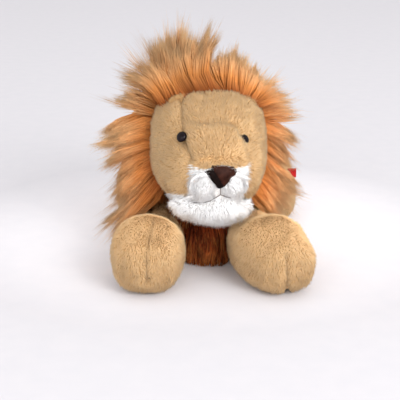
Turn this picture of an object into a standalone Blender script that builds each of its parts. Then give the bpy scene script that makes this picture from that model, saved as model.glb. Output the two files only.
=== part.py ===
"""A plush lion that lies on its belly, with its head up over its forelegs.

Metres, +Z up. The lion looks along -Y, and its own left is +X. The origin is on the
floor, under the belly.
"""

import math
from dataclasses import dataclass

import bmesh
import bpy
from mathutils import Matrix, Vector
from mathutils.bvhtree import BVHTree

# Cloth and seams
plush_thickness = 0.004
filling_gap = 0.0011
seat_gap = 0.0003
floor_sink = 0.0005
overrun = 0.020
room_for_turning = 0.0010
tail_turning_room = 0.0005

# Body
chest_forward = 0.040
rump_back = 0.150
chest_width = 0.112
belly_width = 0.164
hip_width = 0.148
chest_height = 0.088
belly_height = 0.112
hip_height = 0.106
chest_round = 0.038
rump_round = 0.050

# Neck
neck_forward = 0.092
neck_radius = 0.041
neck_top = 0.118
neck_opening_radius = 0.026
neck_turn_room = 0.003

# Head, about its own centre
head_forward = 0.132
head_yaw = math.radians(9)
head_roll = math.radians(2)
head_width = 0.131
head_height = 0.149
chin_clearance = 0.011
face_depth = 0.077
nape_depth = 0.065
jaw_width = 0.098
jaw_height = 0.084
jaw_drop = 0.028

# Face
eye_out_left = 0.0325
eye_out_right = 0.0375
eye_rise = 0.024
eye_diameter = 0.0125
eye_dome_height = 0.0045
eye_shank_diameter = 0.004
eye_shank_length = 0.014
washer_diameter = 0.014
washer_thickness = 0.0015
washer_depth = 0.0078
muzzle_lobe_width = 0.035
muzzle_lobe_height = 0.044
muzzle_lobe_round = 0.015
muzzle_proud = 0.012
muzzle_drop = 0.020
chin_width = 0.084
chin_height = 0.036
chin_round = 0.018
chin_proud = 0.005
chin_drop = 0.055
nose_width = 0.040
nose_height = 0.027
nose_depth = 0.018
nose_tip_width = 0.011
nose_drop = 0.012
nose_proud = 0.007
mouth_width = 0.032
mouth_drop = 0.027
mouth_fall = 0.009
mouth_thread_diameter = 0.0012

# Ears
ear_width = 0.030
ear_thickness = 0.010
ear_proud = 0.009
ear_spread_share = 0.55
ear_rise_share = 0.356
ear_forward = 0.030

# Mane
mane_radius = 0.140
mane_front = 0.004
mane_brow_forward = 0.030
mane_ridge = 0.026
mane_back = 0.056
mane_nape_width = 0.150
mane_nape_height = 0.150
mane_nape_round = 0.042
mane_lock_width = 0.034
ruff_width = 0.056
ruff_height = 0.058
ruff_round = 0.014
ruff_forward = 0.135
collar_radius = 0.063
collar_foot = 0.050

# Forelegs
shoulder_spread = 0.104
shoulder_forward = 0.045
shoulder_radius = 0.034
shoulder_height = 0.068
foreleg_length = 0.166
foreleg_width = 0.062
foreleg_height = 0.056
paw_width = 0.085
paw_height = 0.081
paw_round = 0.036
left_paw_spread = 0.017
left_paw_curl = 0.014
right_paw_spread = 0.013
right_paw_curl = 0.001

# Hind legs
hip_spread = 0.112
hip_back = 0.124
hip_radius = 0.036
hip_leg_height = 0.088
thigh_width = 0.068
thigh_height = 0.086
thigh_spread = 0.168
thigh_back = 0.082
hind_foot_width = 0.058
hind_foot_height = 0.052
hind_foot_spread = 0.176
hind_foot_back = 0.028
hind_foot_round = 0.022

# Tail
tail_width = 0.022
tail_length = 0.086
tail_curl = 0.034
tail_root_radius = 0.014
tuft_width = 0.046
tuft_length = 0.052

# Sewn label, plain cloth
label_width = 0.012
label_length = 0.007
label_thickness = 0.0014

# The belly flattens more than the back, as soft things do on a floor.
top_roundness = 2.15
floor_roundness = 2.7
chin_roundness = 1.85
head_roundness = 2.3
joint_ball_roundness_share = 0.6
dome_rise_share = 1.1

# Stations along a form: shares of its length, then of its width and height.
torso_station_shares = ((0.15, 0.95, 0.97), (0.80, 1.00, 1.00))
foreleg_station_shares = ((0.54, 1.00, 1.00), (0.92, 0.97, 1.00), (1.10, 0.86, 0.86))
limb_root_width_share = 0.85
limb_root_height_share = 0.86
limb_root_round_share = 0.60
paw_round_share = 0.80
nape_station_shares = (0.72, 0.03, 0.88)
cheek_station_shares = (0.50, 0.09, 0.92, 0.82)
jaw_station_share = 0.86
nape_round_share = 0.28
face_round_share = 0.14
muzzle_out_share = 0.44
muzzle_back_shares = (1.60, 0.84, 0.86)
chin_back_shares = (1.70, 0.96, 0.84)
nose_station_shares = ((0.18, 0.92, 0.80), (0.42, 0.86, 1.00))
nose_tip_shares = (0.85, 0.72)
nose_round_shares = (0.18, 0.15)
buried_round_share = 0.50
ear_root_share = 0.90
ear_round_share = 0.60

# The tail and its tuft: shares of their curl, length, width and height.
tail_station_shares = ((0.10, 0.40, 0.90), (0.45, 0.75, 0.85), (1.00, 1.00, 0.80))
tail_round_shares = (0.40, 0.30)
tuft_station_shares = ((1.00, -0.15, 0.62, 0.62), (1.20, 0.35, 1.00, 0.80), (1.50, 0.80, 0.40, 0.35))
tuft_round_shares = (0.20, 0.20)

# The mane's outline round the face: degrees from the lion's left, and reach.
mane_outline_shares = (
    (-50, 0.86), (-35, 0.88), (-24, 0.78), (-9, 0.70), (8, 0.73), (22, 0.85), (40, 0.80),
    (70, 0.84), (80, 0.80), (88, 0.78), (94, 0.90), (100, 1.00), (110, 1.00), (120, 0.94),
    (139, 0.92), (166, 0.88), (182, 0.82), (194, 0.82), (211, 0.86), (230, 0.88),
)
mane_inner_share = 0.60
mane_brow_share = 0.78
mane_back_share = 0.64
mane_notch_share = 0.16
mane_brow_depth_share = 0.40
mane_nape_shares = ((0.00, 0.04, 1.00), (1.15, 0.02, 0.96))
collar_outline_shares = ((0.86, 0.00), (1.00, 0.35), (1.00, 0.75), (0.90, 1.00))
ruff_back_height_share = 1.10
ruff_front_width_share = 0.96
eye_rim_shares = (0.86, 0.25)
label_rise_share = 0.65
crown_degrees = (32, 148)
left_cheek_degrees = (-50, 32)
right_cheek_degrees = (148, 230)

# Facets round each kind of form, and rings between two of its sections.
body_sides = 20
head_sides = 20
limb_sides = 16
tail_sides = 10
hollow_sides = 12
turning_sides = 18
opening_sides = 12
eye_sides = 16
thread_sides = 8
thread_steps = 8
span_rings = 3
hollow_rings = 2
round_rings = 3

axis_x = Vector((1, 0, 0))
axis_y = Vector((0, 1, 0))
axis_z = Vector((0, 0, 1))


@dataclass(frozen=True)
class Station:
    """One section of a stuffed form: its middle, and its full width and height."""

    place: Vector
    width: float
    height: float


@dataclass(frozen=True)
class Form:
    """A stuffed form that swells and tapers through its stations, with round ends.

    The sections of one that stands on the floor are upright, so that it rests along its length.
    """

    stations: tuple
    start_round: float
    end_round: float
    up: Vector = axis_z
    low_roundness: float = floor_roundness
    stands: bool = False


def clear_scene():
    for old in list(bpy.data.objects):
        bpy.data.objects.remove(old, do_unlink=True)


def material(name, colour, roughness, metallic=0.0):
    made = bpy.data.materials.get(name)
    if made:
        return made
    made = bpy.data.materials.new(name)
    made.use_nodes = True
    shader = made.node_tree.nodes["Principled BSDF"]
    shader.inputs["Base Color"].default_value = (*colour, 1.0)
    shader.inputs["Roughness"].default_value = roughness
    shader.inputs["Metallic"].default_value = metallic
    return made


def tan_plush():
    return material("tan_plush", (0.66, 0.41, 0.19), 0.95)


def rust_hair():
    return material("rust_hair", (0.42, 0.14, 0.04), 0.85)


def white_plush():
    return material("white_plush", (0.86, 0.82, 0.78), 0.95)


def fibre_fill():
    return material("fibre_fill", (0.92, 0.92, 0.92), 1.0)


def eye_gloss():
    return material("eye_gloss", (0.012, 0.008, 0.008), 0.08)


def washer_plastic():
    return material("washer_plastic", (0.80, 0.80, 0.78), 0.45)


def nose_leather():
    return material("nose_leather", (0.045, 0.018, 0.014), 0.40)


def mouth_cotton():
    return material("mouth_cotton", (0.30, 0.27, 0.26), 0.80)


def label_cloth():
    return material("label_cloth", (0.62, 0.04, 0.05), 0.75)


def spline(values, t):
    """The smooth value at t, where values lie at 0, 1, 2 and so on."""
    last = len(values) - 1
    index = min(int(t), last - 1)
    part = t - index
    before = values[max(index - 1, 0)]
    start, end = values[index], values[index + 1]
    after = values[min(index + 2, last)]
    start_slope = (end - before) * 0.5
    end_slope = (after - start) * 0.5
    return (
        start * (2 * part**3 - 3 * part**2 + 1)
        + start_slope * (part**3 - 2 * part**2 + part)
        + end * (3 * part**2 - 2 * part**3)
        + end_slope * (part**3 - part**2)
    )


def section(place, across, up, half_width, half_height, sides, low_roundness):
    """The points of one ring, rounder above than below."""
    points = []
    for step in range(sides):
        turn = math.tau * step / sides
        cosine, sine = math.cos(turn), math.sin(turn)
        power = 2 / (low_roundness if sine < 0 else top_roundness)
        wide = math.copysign(abs(cosine) ** power, cosine) * half_width
        high = math.copysign(abs(sine) ** power, sine) * half_height
        points.append(place + across * wide + up * high)
    return points


def form_rings(form, grow, sides, spans, round_steps):
    """The rings of a form, and its two end points, swollen by grow."""
    places = [station.place for station in form.stations]
    widths = [station.width for station in form.stations]
    heights = [station.height for station in form.stations]
    last = len(places) - 1
    nudge = 0.01
    rings = []

    def ring(t, scale, shift):
        t_low, t_high = max(t - nudge, 0), min(t + nudge, last)
        along = spline(places, t_high) - spline(places, t_low)
        if form.stands:
            along.z = 0
        along.normalize()
        across = along.cross(form.up).normalized()
        upright = across.cross(along).normalized()
        return section(
            spline(places, t) + along * shift,
            across,
            upright,
            (spline(widths, t) / 2 + grow) * scale,
            (spline(heights, t) / 2 + grow) * scale,
            sides,
            form.low_roundness,
        ), along

    for step in range(round_steps - 1, 0, -1):
        turn = math.pi / 2 * step / round_steps
        shift = -(form.start_round + grow) * math.sin(turn)
        rings.append(ring(0, math.cos(turn), shift)[0])
    for step in range(last * spans + 1):
        rings.append(ring(step / spans, 1.0, 0.0)[0])
    for step in range(1, round_steps):
        turn = math.pi / 2 * step / round_steps
        shift = (form.end_round + grow) * math.sin(turn)
        rings.append(ring(last, math.cos(turn), shift)[0])
    start = places[0] - ring(0, 1.0, 0.0)[1] * (form.start_round + grow)
    end = places[-1] + ring(last, 1.0, 0.0)[1] * (form.end_round + grow)
    return rings, start, end


def skin_rings(rings, start, end):
    """The points and faces of a closed surface through rings, with a point at each end."""
    sides = len(rings[0])
    points = [point for ring in rings for point in ring] + [start, end]
    faces = []
    for row in range(len(rings) - 1):
        for step in range(sides):
            after = (step + 1) % sides
            low, high = row * sides, (row + 1) * sides
            faces.append((low + step, low + after, high + after, high + step))
    last = (len(rings) - 1) * sides
    for step in range(sides):
        after = (step + 1) % sides
        faces.append((len(points) - 2, after, step))
        faces.append((len(points) - 1, last + step, last + after))
    return points, faces


def closed_object(name, points, faces, finish=None):
    """A closed mesh object with its faces turned outwards."""
    mesh = bpy.data.meshes.new(name)
    mesh.from_pydata([tuple(point) for point in points], [], faces)
    shape = bmesh.new()
    shape.from_mesh(mesh)
    bmesh.ops.recalc_face_normals(shape, faces=shape.faces)
    shape.to_mesh(mesh)
    shape.free()
    made = bpy.data.objects.new(name, mesh)
    bpy.context.scene.collection.objects.link(made)
    if finish:
        mesh.materials.append(finish)
        mesh.shade_smooth()
        mesh.set_sharp_from_angle(angle=math.radians(50))
    else:
        made.hide_render = True
        made.display_type = "WIRE"
    return made


def form_object(name, form, finish=None, grow=0.0, sides=limb_sides, spans=span_rings):
    rings, start, end = form_rings(form, grow, sides, spans, round_rings)
    return closed_object(name, *skin_rings(rings, start, end), finish)


def turned_object(name, profile, centre, sides, finish=None):
    """A profile of (radius, height) turned about the vertical line through centre."""
    rings = []
    for radius, height in profile[1:-1]:
        ring = []
        for step in range(sides):
            turn = math.tau * step / sides
            ring.append(
                Vector((
                    centre.x + radius * math.cos(turn),
                    centre.y + radius * math.sin(turn),
                    height,
                ))
            )
        rings.append(ring)
    start = Vector((centre.x, centre.y, profile[0][1]))
    end = Vector((centre.x, centre.y, profile[-1][1]))
    return closed_object(name, *skin_rings(rings, start, end), finish)


def box_object(name, low, high, finish=None):
    points = [
        Vector((x, y, z)) for x in (low.x, high.x) for y in (low.y, high.y) for z in (low.z, high.z)
    ]
    faces = [(0, 1, 3, 2), (4, 6, 7, 5), (0, 4, 5, 1), (2, 3, 7, 6), (0, 2, 6, 4), (1, 5, 7, 3)]
    return closed_object(name, points, faces, finish)


def rod_object(name, start, end, radius, sides, finish=None):
    """A straight round rod from start to end."""
    along = (end - start).normalized()
    across = along.orthogonal().normalized()
    upright = along.cross(across)
    rings = []
    for place in (start, end):
        rings.append([
            place
            + across * radius * math.cos(math.tau * step / sides)
            + upright * radius * math.sin(math.tau * step / sides)
            for step in range(sides)
        ])
    return closed_object(name, *skin_rings(rings, start, end), finish)


def cut(target, *cutters, solver="EXACT"):
    for cutter in cutters:
        step = target.modifiers.new(f"cut_{cutter.name}", "BOOLEAN")
        step.operation = "DIFFERENCE"
        step.solver = solver
        step.object = cutter
    return target


def fuse(target, *others):
    for other in others:
        step = target.modifiers.new(f"fuse_{other.name}", "BOOLEAN")
        step.operation = "UNION"
        step.object = other
    return target


def slice_off(target, point, normal):
    """Takes off what lies beyond point, on the side that normal points to."""
    shape = bmesh.new()
    shape.from_mesh(target.data)
    bmesh.ops.bisect_plane(
        shape,
        geom=shape.verts[:] + shape.edges[:] + shape.faces[:],
        plane_co=point,
        plane_no=normal,
        clear_outer=True,
    )
    rim = [edge for edge in shape.edges if edge.is_boundary]
    bmesh.ops.triangle_fill(shape, edges=rim, use_beauty=True, use_dissolve=False)
    bmesh.ops.recalc_face_normals(shape, faces=shape.faces)
    shape.to_mesh(target.data)
    shape.free()
    return target


def rest_on_floor(target):
    return slice_off(target, Vector((0, 0, 0)), -axis_z)


def move_mesh(target, matrix):
    target.data.transform(matrix)
    return target


def surface_of(objects):
    """A tree for casting rays on the finished surfaces of objects."""
    bpy.context.view_layer.update()
    graph = bpy.context.evaluated_depsgraph_get()
    points, faces = [], []
    for one in objects:
        evaluated = one.evaluated_get(graph)
        mesh = evaluated.to_mesh()
        first = len(points)
        points += [one.matrix_world @ vertex.co for vertex in mesh.vertices]
        faces += [[first + index for index in face.vertices] for face in mesh.polygons]
        evaluated.to_mesh_clear()
    return BVHTree.FromPolygons(points, faces)


def set_origin(target, place):
    """Puts the object's own origin at place, and leaves its mesh where it is."""
    target.data.transform(Matrix.Translation(-place))
    target.location = place


def floor_station(x, y, width, height):
    return Station(Vector((x, y, height / 2 - floor_sink)), width, height)


# Places that several pieces share
neck_centre = Vector((0, -neck_forward, 0))
chin_level = foreleg_height + chin_clearance
head_centre = Vector((0, -head_forward, chin_level + head_height / 2))
shelf_level = belly_height + neck_turn_room
floor_span = foreleg_length + rump_back + tail_length
head_place = (
    Matrix.Translation(head_centre)
    @ Matrix.Rotation(head_yaw, 4, "Z")
    @ Matrix.Rotation(head_roll, 4, "Y")
)


def torso_form():
    span = rump_back - chest_forward
    belly = tuple(
        floor_station(0, span * along, belly_width * wide, belly_height * high)
        for along, wide, high in torso_station_shares
    )
    return Form(
        (
            floor_station(0, -chest_forward, chest_width, chest_height),
            *belly,
            floor_station(0, rump_back, hip_width, hip_height),
        ),
        chest_round,
        rump_round,
        stands=True,
    )


def dome_profile(radius, foot, top, steps=5):
    """A dome with a straight foot: its round part is as high as it is wide, or less."""
    rise = min(radius * dome_rise_share, top - foot)
    profile = [(0, foot), (radius, foot)]
    for step in range(steps):
        turn = math.pi / 2 * step / steps
        profile.append((radius * math.cos(turn), top - rise + rise * math.sin(turn)))
    profile.append((0, top))
    return profile


def neck_dome(name, grow, foot):
    profile = dome_profile(neck_radius + grow, foot, neck_top + grow)
    return turned_object(name, profile, neck_centre, turning_sides)


def socket_grow(radius, room=room_for_turning):
    """How much wider a faceted socket is, so that a faceted ball turns in it."""
    return (radius + room) / math.cos(math.pi / turning_sides) - radius


def joint_ball(name, centre, radius, height, grow):
    """A barrel with round ends that a limb turns on, about a vertical line."""
    steps = 6
    middle = height / 2 - floor_sink
    profile = [(0, middle - height / 2 - grow)]
    for step in range(1, steps):
        turn = -math.pi / 2 + math.pi * step / steps
        wide = (radius + grow) * math.cos(turn) ** joint_ball_roundness_share
        profile.append((wide, middle + (height / 2 + grow) * math.sin(turn)))
    profile.append((0, middle + height / 2 + grow))
    return turned_object(name, profile, centre, turning_sides)


def shoulder_centre(side):
    return Vector((side * shoulder_spread / 2, -shoulder_forward, 0))


def hip_centre(side):
    return Vector((side * hip_spread / 2, hip_back, 0))


def tail_root():
    return Vector((0, rump_back + rump_round - tail_root_radius, 0))


def limb_socket(name, form, centre, radius, height, sides=limb_sides, room=room_for_turning):
    """The room that the body leaves for a limb at rest and for its turning end."""
    around = form_object(f"{name}_room", form, grow=room, sides=sides)
    ball = joint_ball(f"{name}_socket", centre, radius, height, socket_grow(radius, room))
    return fuse(around, ball)


def limb_sockets():
    sockets = []
    for name, side in (("left", 1), ("right", -1)):
        shoulder, hip = shoulder_centre(side), hip_centre(side)
        sockets += [
            limb_socket(
                f"foreleg_{name}", foreleg_form(side), shoulder, shoulder_radius, shoulder_height
            ),
            limb_socket(f"hind_leg_{name}", hind_leg_form(side), hip, hip_radius, hip_leg_height),
        ]
    sockets.append(
        limb_socket(
            "tail", tail_form(), tail_root(), tail_root_radius, tail_root_radius * 2,
            sides=tail_sides, room=tail_turning_room,
        )
    )
    return sockets


def build_body():
    sockets = limb_sockets()
    skin = form_object("body_skin", torso_form(), tan_plush(), sides=body_sides)
    rest_on_floor(skin)
    counts = {"sides": hollow_sides, "spans": hollow_rings}
    inner = form_object("body_hollow", torso_form(), grow=-plush_thickness, **counts)
    fuse(skin, neck_dome("neck_outside", 0, foot=chest_height / 3))
    cut(skin, inner, neck_dome("neck_hollow", -plush_thickness, foot=chest_height / 2))
    opening_foot = neck_centre + axis_z * (neck_top - neck_radius)
    opening_top = opening_foot + axis_z * (neck_radius + overrun)
    cut(
        skin,
        rod_object("neck_opening", opening_foot, opening_top, neck_opening_radius, turning_sides),
    )
    cut(skin, *sockets, solver="MANIFOLD")
    inset = -plush_thickness - filling_gap
    filling = form_object("body_filling", torso_form(), fibre_fill(), grow=inset, **counts)
    fuse(filling, neck_dome("neck_filling", inset, foot=chest_height / 2 + filling_gap))
    cut(filling, *sockets, solver="MANIFOLD")
    return skin


def foreleg_form(side):
    spread, curl = (
        (left_paw_spread, left_paw_curl) if side > 0 else (right_paw_spread, right_paw_curl)
    )
    shoulder_x = shoulder_spread / 2
    places_out = (shoulder_x + (spread - curl) / 2, shoulder_x + spread, shoulder_x + spread + curl)
    sizes = ((foreleg_width, foreleg_height), (paw_width, paw_height), (paw_width, paw_height))
    stations = [limb_root(side * shoulder_x, -shoulder_forward, shoulder_radius, shoulder_height)]
    for (along, wide, high), out, (width, height) in zip(foreleg_station_shares, places_out, sizes):
        y = -shoulder_forward - foreleg_length * along
        stations.append(floor_station(side * out, y, width * wide, height * high))
    return Form(
        tuple(stations),
        shoulder_radius * limb_root_round_share,
        paw_round * paw_round_share,
        stands=True,
    )


def limb_root(x, y, radius, height):
    """The station of a limb inside its turning end."""
    return floor_station(
        x, y, radius * 2 * limb_root_width_share, height * limb_root_height_share
    )


def hind_leg_form(side):
    return Form(
        (
            limb_root(side * hip_spread / 2, hip_back, hip_radius, hip_leg_height),
            floor_station(side * thigh_spread / 2, thigh_back, thigh_width, thigh_height),
            floor_station(
                side * hind_foot_spread / 2, hind_foot_back, hind_foot_width, hind_foot_height
            ),
        ),
        hip_radius * limb_root_round_share,
        hind_foot_round,
        stands=True,
    )


def build_limb(name, form, centre, radius, height, side):
    """A sewn limb: its plush skin, open where it meets the body, and its filling."""
    counts = {"sides": hollow_sides, "spans": hollow_rings}
    skin = form_object(f"{name}_skin", form, tan_plush())
    fuse(skin, joint_ball(f"{name}_end", centre, radius, height, 0))
    inset = -plush_thickness
    cut(
        skin,
        form_object(f"{name}_hollow", form, grow=inset, **counts),
        joint_ball(f"{name}_end_hollow", centre, radius, height, inset),
    )
    mouth = centre + axis_z * height / 2
    inward = axis_x * (-side * (radius + overrun))
    cut(skin, rod_object(f"{name}_mouth", mouth, mouth + inward, height / 4, opening_sides))
    cut(skin, floor_cutter(f"{name}_floor"))
    inset -= filling_gap
    filling = form_object(f"{name}_filling", form, fibre_fill(), grow=inset, **counts)
    fuse(filling, joint_ball(f"{name}_end_filling", centre, radius, height, inset))
    for piece in (skin, filling):
        set_origin(piece, centre)
    return skin, filling


def floor_cutter(name):
    low = Vector((-floor_span, -floor_span, -floor_span))
    return box_object(name, low, Vector((floor_span, floor_span, 0)))


def tail_form():
    root = tail_root()
    stations = [floor_station(0, root.y, tail_width, tail_width)]
    for curl, along, wide in tail_station_shares:
        width = tail_width * wide
        stations.append(
            floor_station(tail_curl * curl, root.y + tail_length * along, width, width)
        )
    start_share, end_share = tail_round_shares
    return Form(
        tuple(stations), tail_width * start_share, tail_width * end_share, stands=True
    )


def tuft_form(end):
    stations = tuple(
        floor_station(end.x * curl, end.y + tuft_length * along, tuft_width * wide, tuft_width * high)
        for curl, along, wide, high in tuft_station_shares
    )
    start_share, end_share = tuft_round_shares
    return Form(stations, tail_width * start_share, tuft_length * end_share, stands=True)


def build_tail():
    """The tail's plush skin, open at the body, its filling, and the hair at its end."""
    root, form = tail_root(), tail_form()
    height = tail_root_radius * 2
    skin = form_object("tail_skin", form, tan_plush(), sides=tail_sides)
    fuse(skin, joint_ball("tail_end", root, tail_root_radius, height, 0))
    inset = -plush_thickness
    cut(
        skin,
        form_object("tail_hollow", form, grow=inset, sides=tail_sides, spans=hollow_rings),
        joint_ball("tail_end_hollow", root, tail_root_radius, height, inset),
    )
    mouth = root + axis_z * height / 2
    inward = mouth - axis_y * (height + overrun)
    cut(skin, rod_object("tail_mouth", mouth, inward, height / 4, opening_sides))
    cut(skin, floor_cutter("tail_floor"))
    inset -= filling_gap
    filling = form_object(
        "tail_filling", form, fibre_fill(), grow=inset, sides=tail_sides, spans=hollow_rings
    )
    fuse(filling, joint_ball("tail_end_filling", root, tail_root_radius, height, inset))
    tuft = form_object(
        "tail_tuft", tuft_form(form.stations[-1].place), rust_hair(), sides=tail_sides,
        spans=hollow_rings,
    )
    rest_on_floor(tuft)
    cut(tuft, form_object("tail_end_room", form, grow=seat_gap, sides=tail_sides))
    for piece in (skin, filling, tuft):
        set_origin(piece, root)


def head_form():
    back, rise, size = nape_station_shares
    forward, fall, wide, high = cheek_station_shares
    return Form(
        (
            Station(
                Vector((0, nape_depth * back, head_height * rise)), head_width * size, head_height * size
            ),
            Station(Vector((0, 0, 0)), head_width, head_height),
            Station(
                Vector((0, -face_depth * forward, -head_height * fall)), head_width * wide,
                head_height * high,
            ),
            Station(Vector((0, -face_depth * jaw_station_share, -jaw_drop)), jaw_width, jaw_height),
        ),
        nape_depth * nape_round_share,
        face_depth * face_round_share,
        low_roundness=head_roundness,
    )


def on_head(name, form, finish=None, **counts):
    return move_mesh(form_object(name, form, finish, **counts), head_place)


def room_for_body():
    """The cutters that keep the head's pieces off the neck and the back as the head turns."""
    low = Vector((-belly_width, -neck_forward - neck_radius / 4, -overrun))
    high = Vector((belly_width, rump_back, shelf_level))
    return (
        neck_dome("neck_socket", socket_grow(neck_radius), foot=-overrun),
        box_object("back_room", low, high),
    )


def build_head(body_room):
    """The head's plush skin, open at the neck, and its filling."""
    form = head_form()
    skin = on_head("head_skin", form, tan_plush(), sides=head_sides)
    counts = {"sides": hollow_sides, "spans": hollow_rings}
    cut(skin, on_head("head_hollow", form, grow=-plush_thickness, **counts), *body_room)
    inset = -plush_thickness - filling_gap
    filling = on_head("head_filling", form, fibre_fill(), grow=inset, **counts)
    cut(filling, *body_room, solver="MANIFOLD")
    return skin, filling


def turned_on(name, profile, place, normal, sides, finish=None):
    """A profile turned about normal, with its zero height at place."""
    made = turned_object(name, profile, Vector((0, 0, 0)), sides, finish)
    facing = axis_z.rotation_difference(normal).to_matrix().to_4x4()
    return move_mesh(made, Matrix.Translation(place) @ facing)


def face_point(surface, x, z):
    """The first point of surface met from the front, at x and z from the head's centre."""
    start = head_place @ Vector((x, -head_width * 2, z))
    ahead = (head_place.to_3x3() @ axis_y).normalized()
    place, normal, _, _ = surface.ray_cast(start, ahead)
    return place, normal


def eye_profile():
    """A low dome over a thin shank, from the shank's foot to the top of the dome."""
    radius, shank = eye_diameter / 2, eye_shank_diameter / 2
    back_share, rim_share = eye_rim_shares
    profile = [(0, -eye_shank_length), (shank, -eye_shank_length), (shank, seat_gap)]
    profile += [(radius * back_share, seat_gap), (radius, seat_gap + eye_dome_height * rim_share)]
    steps = 4
    for step in range(1, steps):
        turn = math.pi / 2 * step / steps
        rise = eye_dome_height * (rim_share + (1 - rim_share) * math.sin(turn))
        profile.append((radius * math.cos(turn), seat_gap + rise))
    profile.append((0, seat_gap + eye_dome_height))
    return profile


def build_eyes(skin, filling):
    """Glossy domes whose shanks go through the skin, each held by a washer inside."""
    surface = surface_of([skin])
    made = []
    for name, out in (("left", eye_out_left), ("right", -eye_out_right)):
        place, normal = face_point(surface, out, eye_rise)
        eye = turned_on(f"eye_{name}", eye_profile(), place, normal, eye_sides, eye_gloss())
        hole = rod_object(
            f"eye_hole_{name}", place - normal * (eye_shank_length + overrun),
            place + normal * overrun, eye_shank_diameter / 2 + seat_gap, opening_sides,
        )
        washer = rod_object(
            f"eye_washer_{name}", place - normal * washer_depth,
            place - normal * (washer_depth + washer_thickness), washer_diameter / 2, eye_sides,
            washer_plastic(),
        )
        cut(washer, hole)
        made += [eye, washer]
        pocket = rod_object(
            f"eye_pocket_{name}", place - normal * (eye_shank_length + filling_gap), place,
            washer_diameter / 2 + filling_gap, eye_sides,
        )
        cut(skin, hole)
        cut(filling, pocket)
    return made


def muzzle_form(side):
    front = -face_depth - muzzle_proud + muzzle_lobe_round
    centre_x = side * muzzle_lobe_width * muzzle_out_share
    back, wide, high = muzzle_back_shares
    return Form(
        (
            Station(
                Vector((centre_x, front + muzzle_lobe_round * back, -muzzle_drop)),
                muzzle_lobe_width * wide, muzzle_lobe_height * high,
            ),
            Station(Vector((centre_x, front, -muzzle_drop)), muzzle_lobe_width, muzzle_lobe_height),
        ),
        muzzle_lobe_round * buried_round_share,
        muzzle_lobe_round,
        low_roundness=top_roundness,
    )


def chin_form():
    front = -face_depth - chin_proud + chin_round
    back, drop, size = chin_back_shares
    return Form(
        (
            Station(
                Vector((0, front + chin_round * back, -chin_drop * drop)), chin_width * size,
                chin_height * size,
            ),
            Station(Vector((0, front, -chin_drop)), chin_width, chin_height),
        ),
        chin_round * buried_round_share,
        chin_round,
        low_roundness=chin_roundness,
    )


def nose_form():
    y = -face_depth - muzzle_proud - nose_proud + nose_depth / 2
    top = -nose_drop + nose_height / 2
    stations = [
        Station(Vector((0, y, top - nose_height * down)), nose_width * wide, nose_depth * deep)
        for down, wide, deep in nose_station_shares
    ]
    down, deep = nose_tip_shares
    stations.append(
        Station(Vector((0, y, top - nose_height * down)), nose_tip_width, nose_depth * deep)
    )
    start_share, end_share = nose_round_shares
    return Form(
        tuple(stations),
        nose_height * start_share,
        nose_height * end_share,
        up=-axis_y,
        low_roundness=top_roundness,
    )


def tube_object(name, places, radius, sides, finish=None):
    """A thin round tube through places, with a flat end at each end."""
    rings = []
    for index, place in enumerate(places):
        before, after = places[max(index - 1, 0)], places[min(index + 1, len(places) - 1)]
        along = (after - before).normalized()
        across = along.cross(axis_y).normalized()
        upright = along.cross(across)
        rings.append([
            place
            + across * radius * math.cos(math.tau * step / sides)
            + upright * radius * math.sin(math.tau * step / sides)
            for step in range(sides)
        ])
    return closed_object(name, *skin_rings(rings, places[0], places[-1]), finish)


def build_muzzle(head_skin):
    """The white lobes on either side of the mouth, the chin, the nose and the stitched mouth."""
    head_room = on_head("head_room", head_form(), grow=seat_gap, sides=head_sides)
    lobes, lobe_rooms = [], []
    for name, side in (("left", 1), ("right", -1)):
        lobe = form_object(f"muzzle_{name}", muzzle_form(side), white_plush())
        slice_off(lobe, axis_x * side * seat_gap / 2, -axis_x * side)
        lobes.append(cut(move_mesh(lobe, head_place), head_room))
        lobe_rooms.append(on_head(f"muzzle_room_{name}", muzzle_form(side), grow=seat_gap))
    chin = on_head("chin", chin_form(), white_plush(), spans=hollow_rings)
    cut(chin, head_room, *lobe_rooms)
    nose = on_head("nose", nose_form(), nose_leather(), sides=16, spans=hollow_rings)
    cut(nose, head_room, *lobe_rooms)
    behind_mouth = [*lobes, chin, head_skin]
    surface = surface_of(behind_mouth)
    lift = mouth_thread_diameter / 4
    places = []
    for step in range(-thread_steps, thread_steps + 1):
        share = step / thread_steps
        x = mouth_width / 2 * share or seat_gap
        place, normal = face_point(surface, x, -mouth_drop - mouth_fall * abs(share) ** 1.3)
        places.append(place + normal * lift)
    radius = mouth_thread_diameter / 2
    thread = tube_object("mouth_thread", places, radius, thread_sides, mouth_cotton())
    groove_places = [places[0] * 2 - places[1], *places, places[-1] * 2 - places[-2]]
    groove = tube_object("mouth_groove", groove_places, radius + seat_gap, thread_sides)
    for piece in behind_mouth:
        cut(piece, groove)
    return [*lobes, chin, nose, thread]


def build_ears():
    """Small round ears, half lost in the mane."""
    made = []
    head_room = bpy.data.objects["head_room"]
    counts = {"sides": hollow_sides, "spans": hollow_rings}
    for name, side in (("left", 1), ("right", -1)):
        outward = Vector((side * head_width * ear_spread_share / 2, 0, head_height * ear_rise_share))
        base = outward - axis_y * ear_forward
        tip = base + outward.normalized() * (ear_proud * ear_root_share)
        form = Form(
            (
                Station(base, ear_width * ear_root_share, ear_thickness),
                Station(tip, ear_width, ear_thickness),
            ),
            ear_proud * buried_round_share,
            ear_proud * ear_round_share,
            up=axis_y,
            low_roundness=top_roundness,
        )
        ear = on_head(f"ear_{name}", form, tan_plush(), **counts)
        on_head(f"ear_room_{name}", form, grow=seat_gap, **counts)
        made.append(cut(ear, head_room))
    return made


def mane_radius_at(degrees):
    """How far the mane's hair reaches from the head's centre, at an angle round the face."""
    for (low, low_share), (high, high_share) in zip(mane_outline_shares, mane_outline_shares[1:]):
        if degrees <= high:
            part = (degrees - low) / (high - low)
            return mane_radius * (low_share + (high_share - low_share) * part)
    return mane_radius * mane_outline_shares[-1][1]


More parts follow.
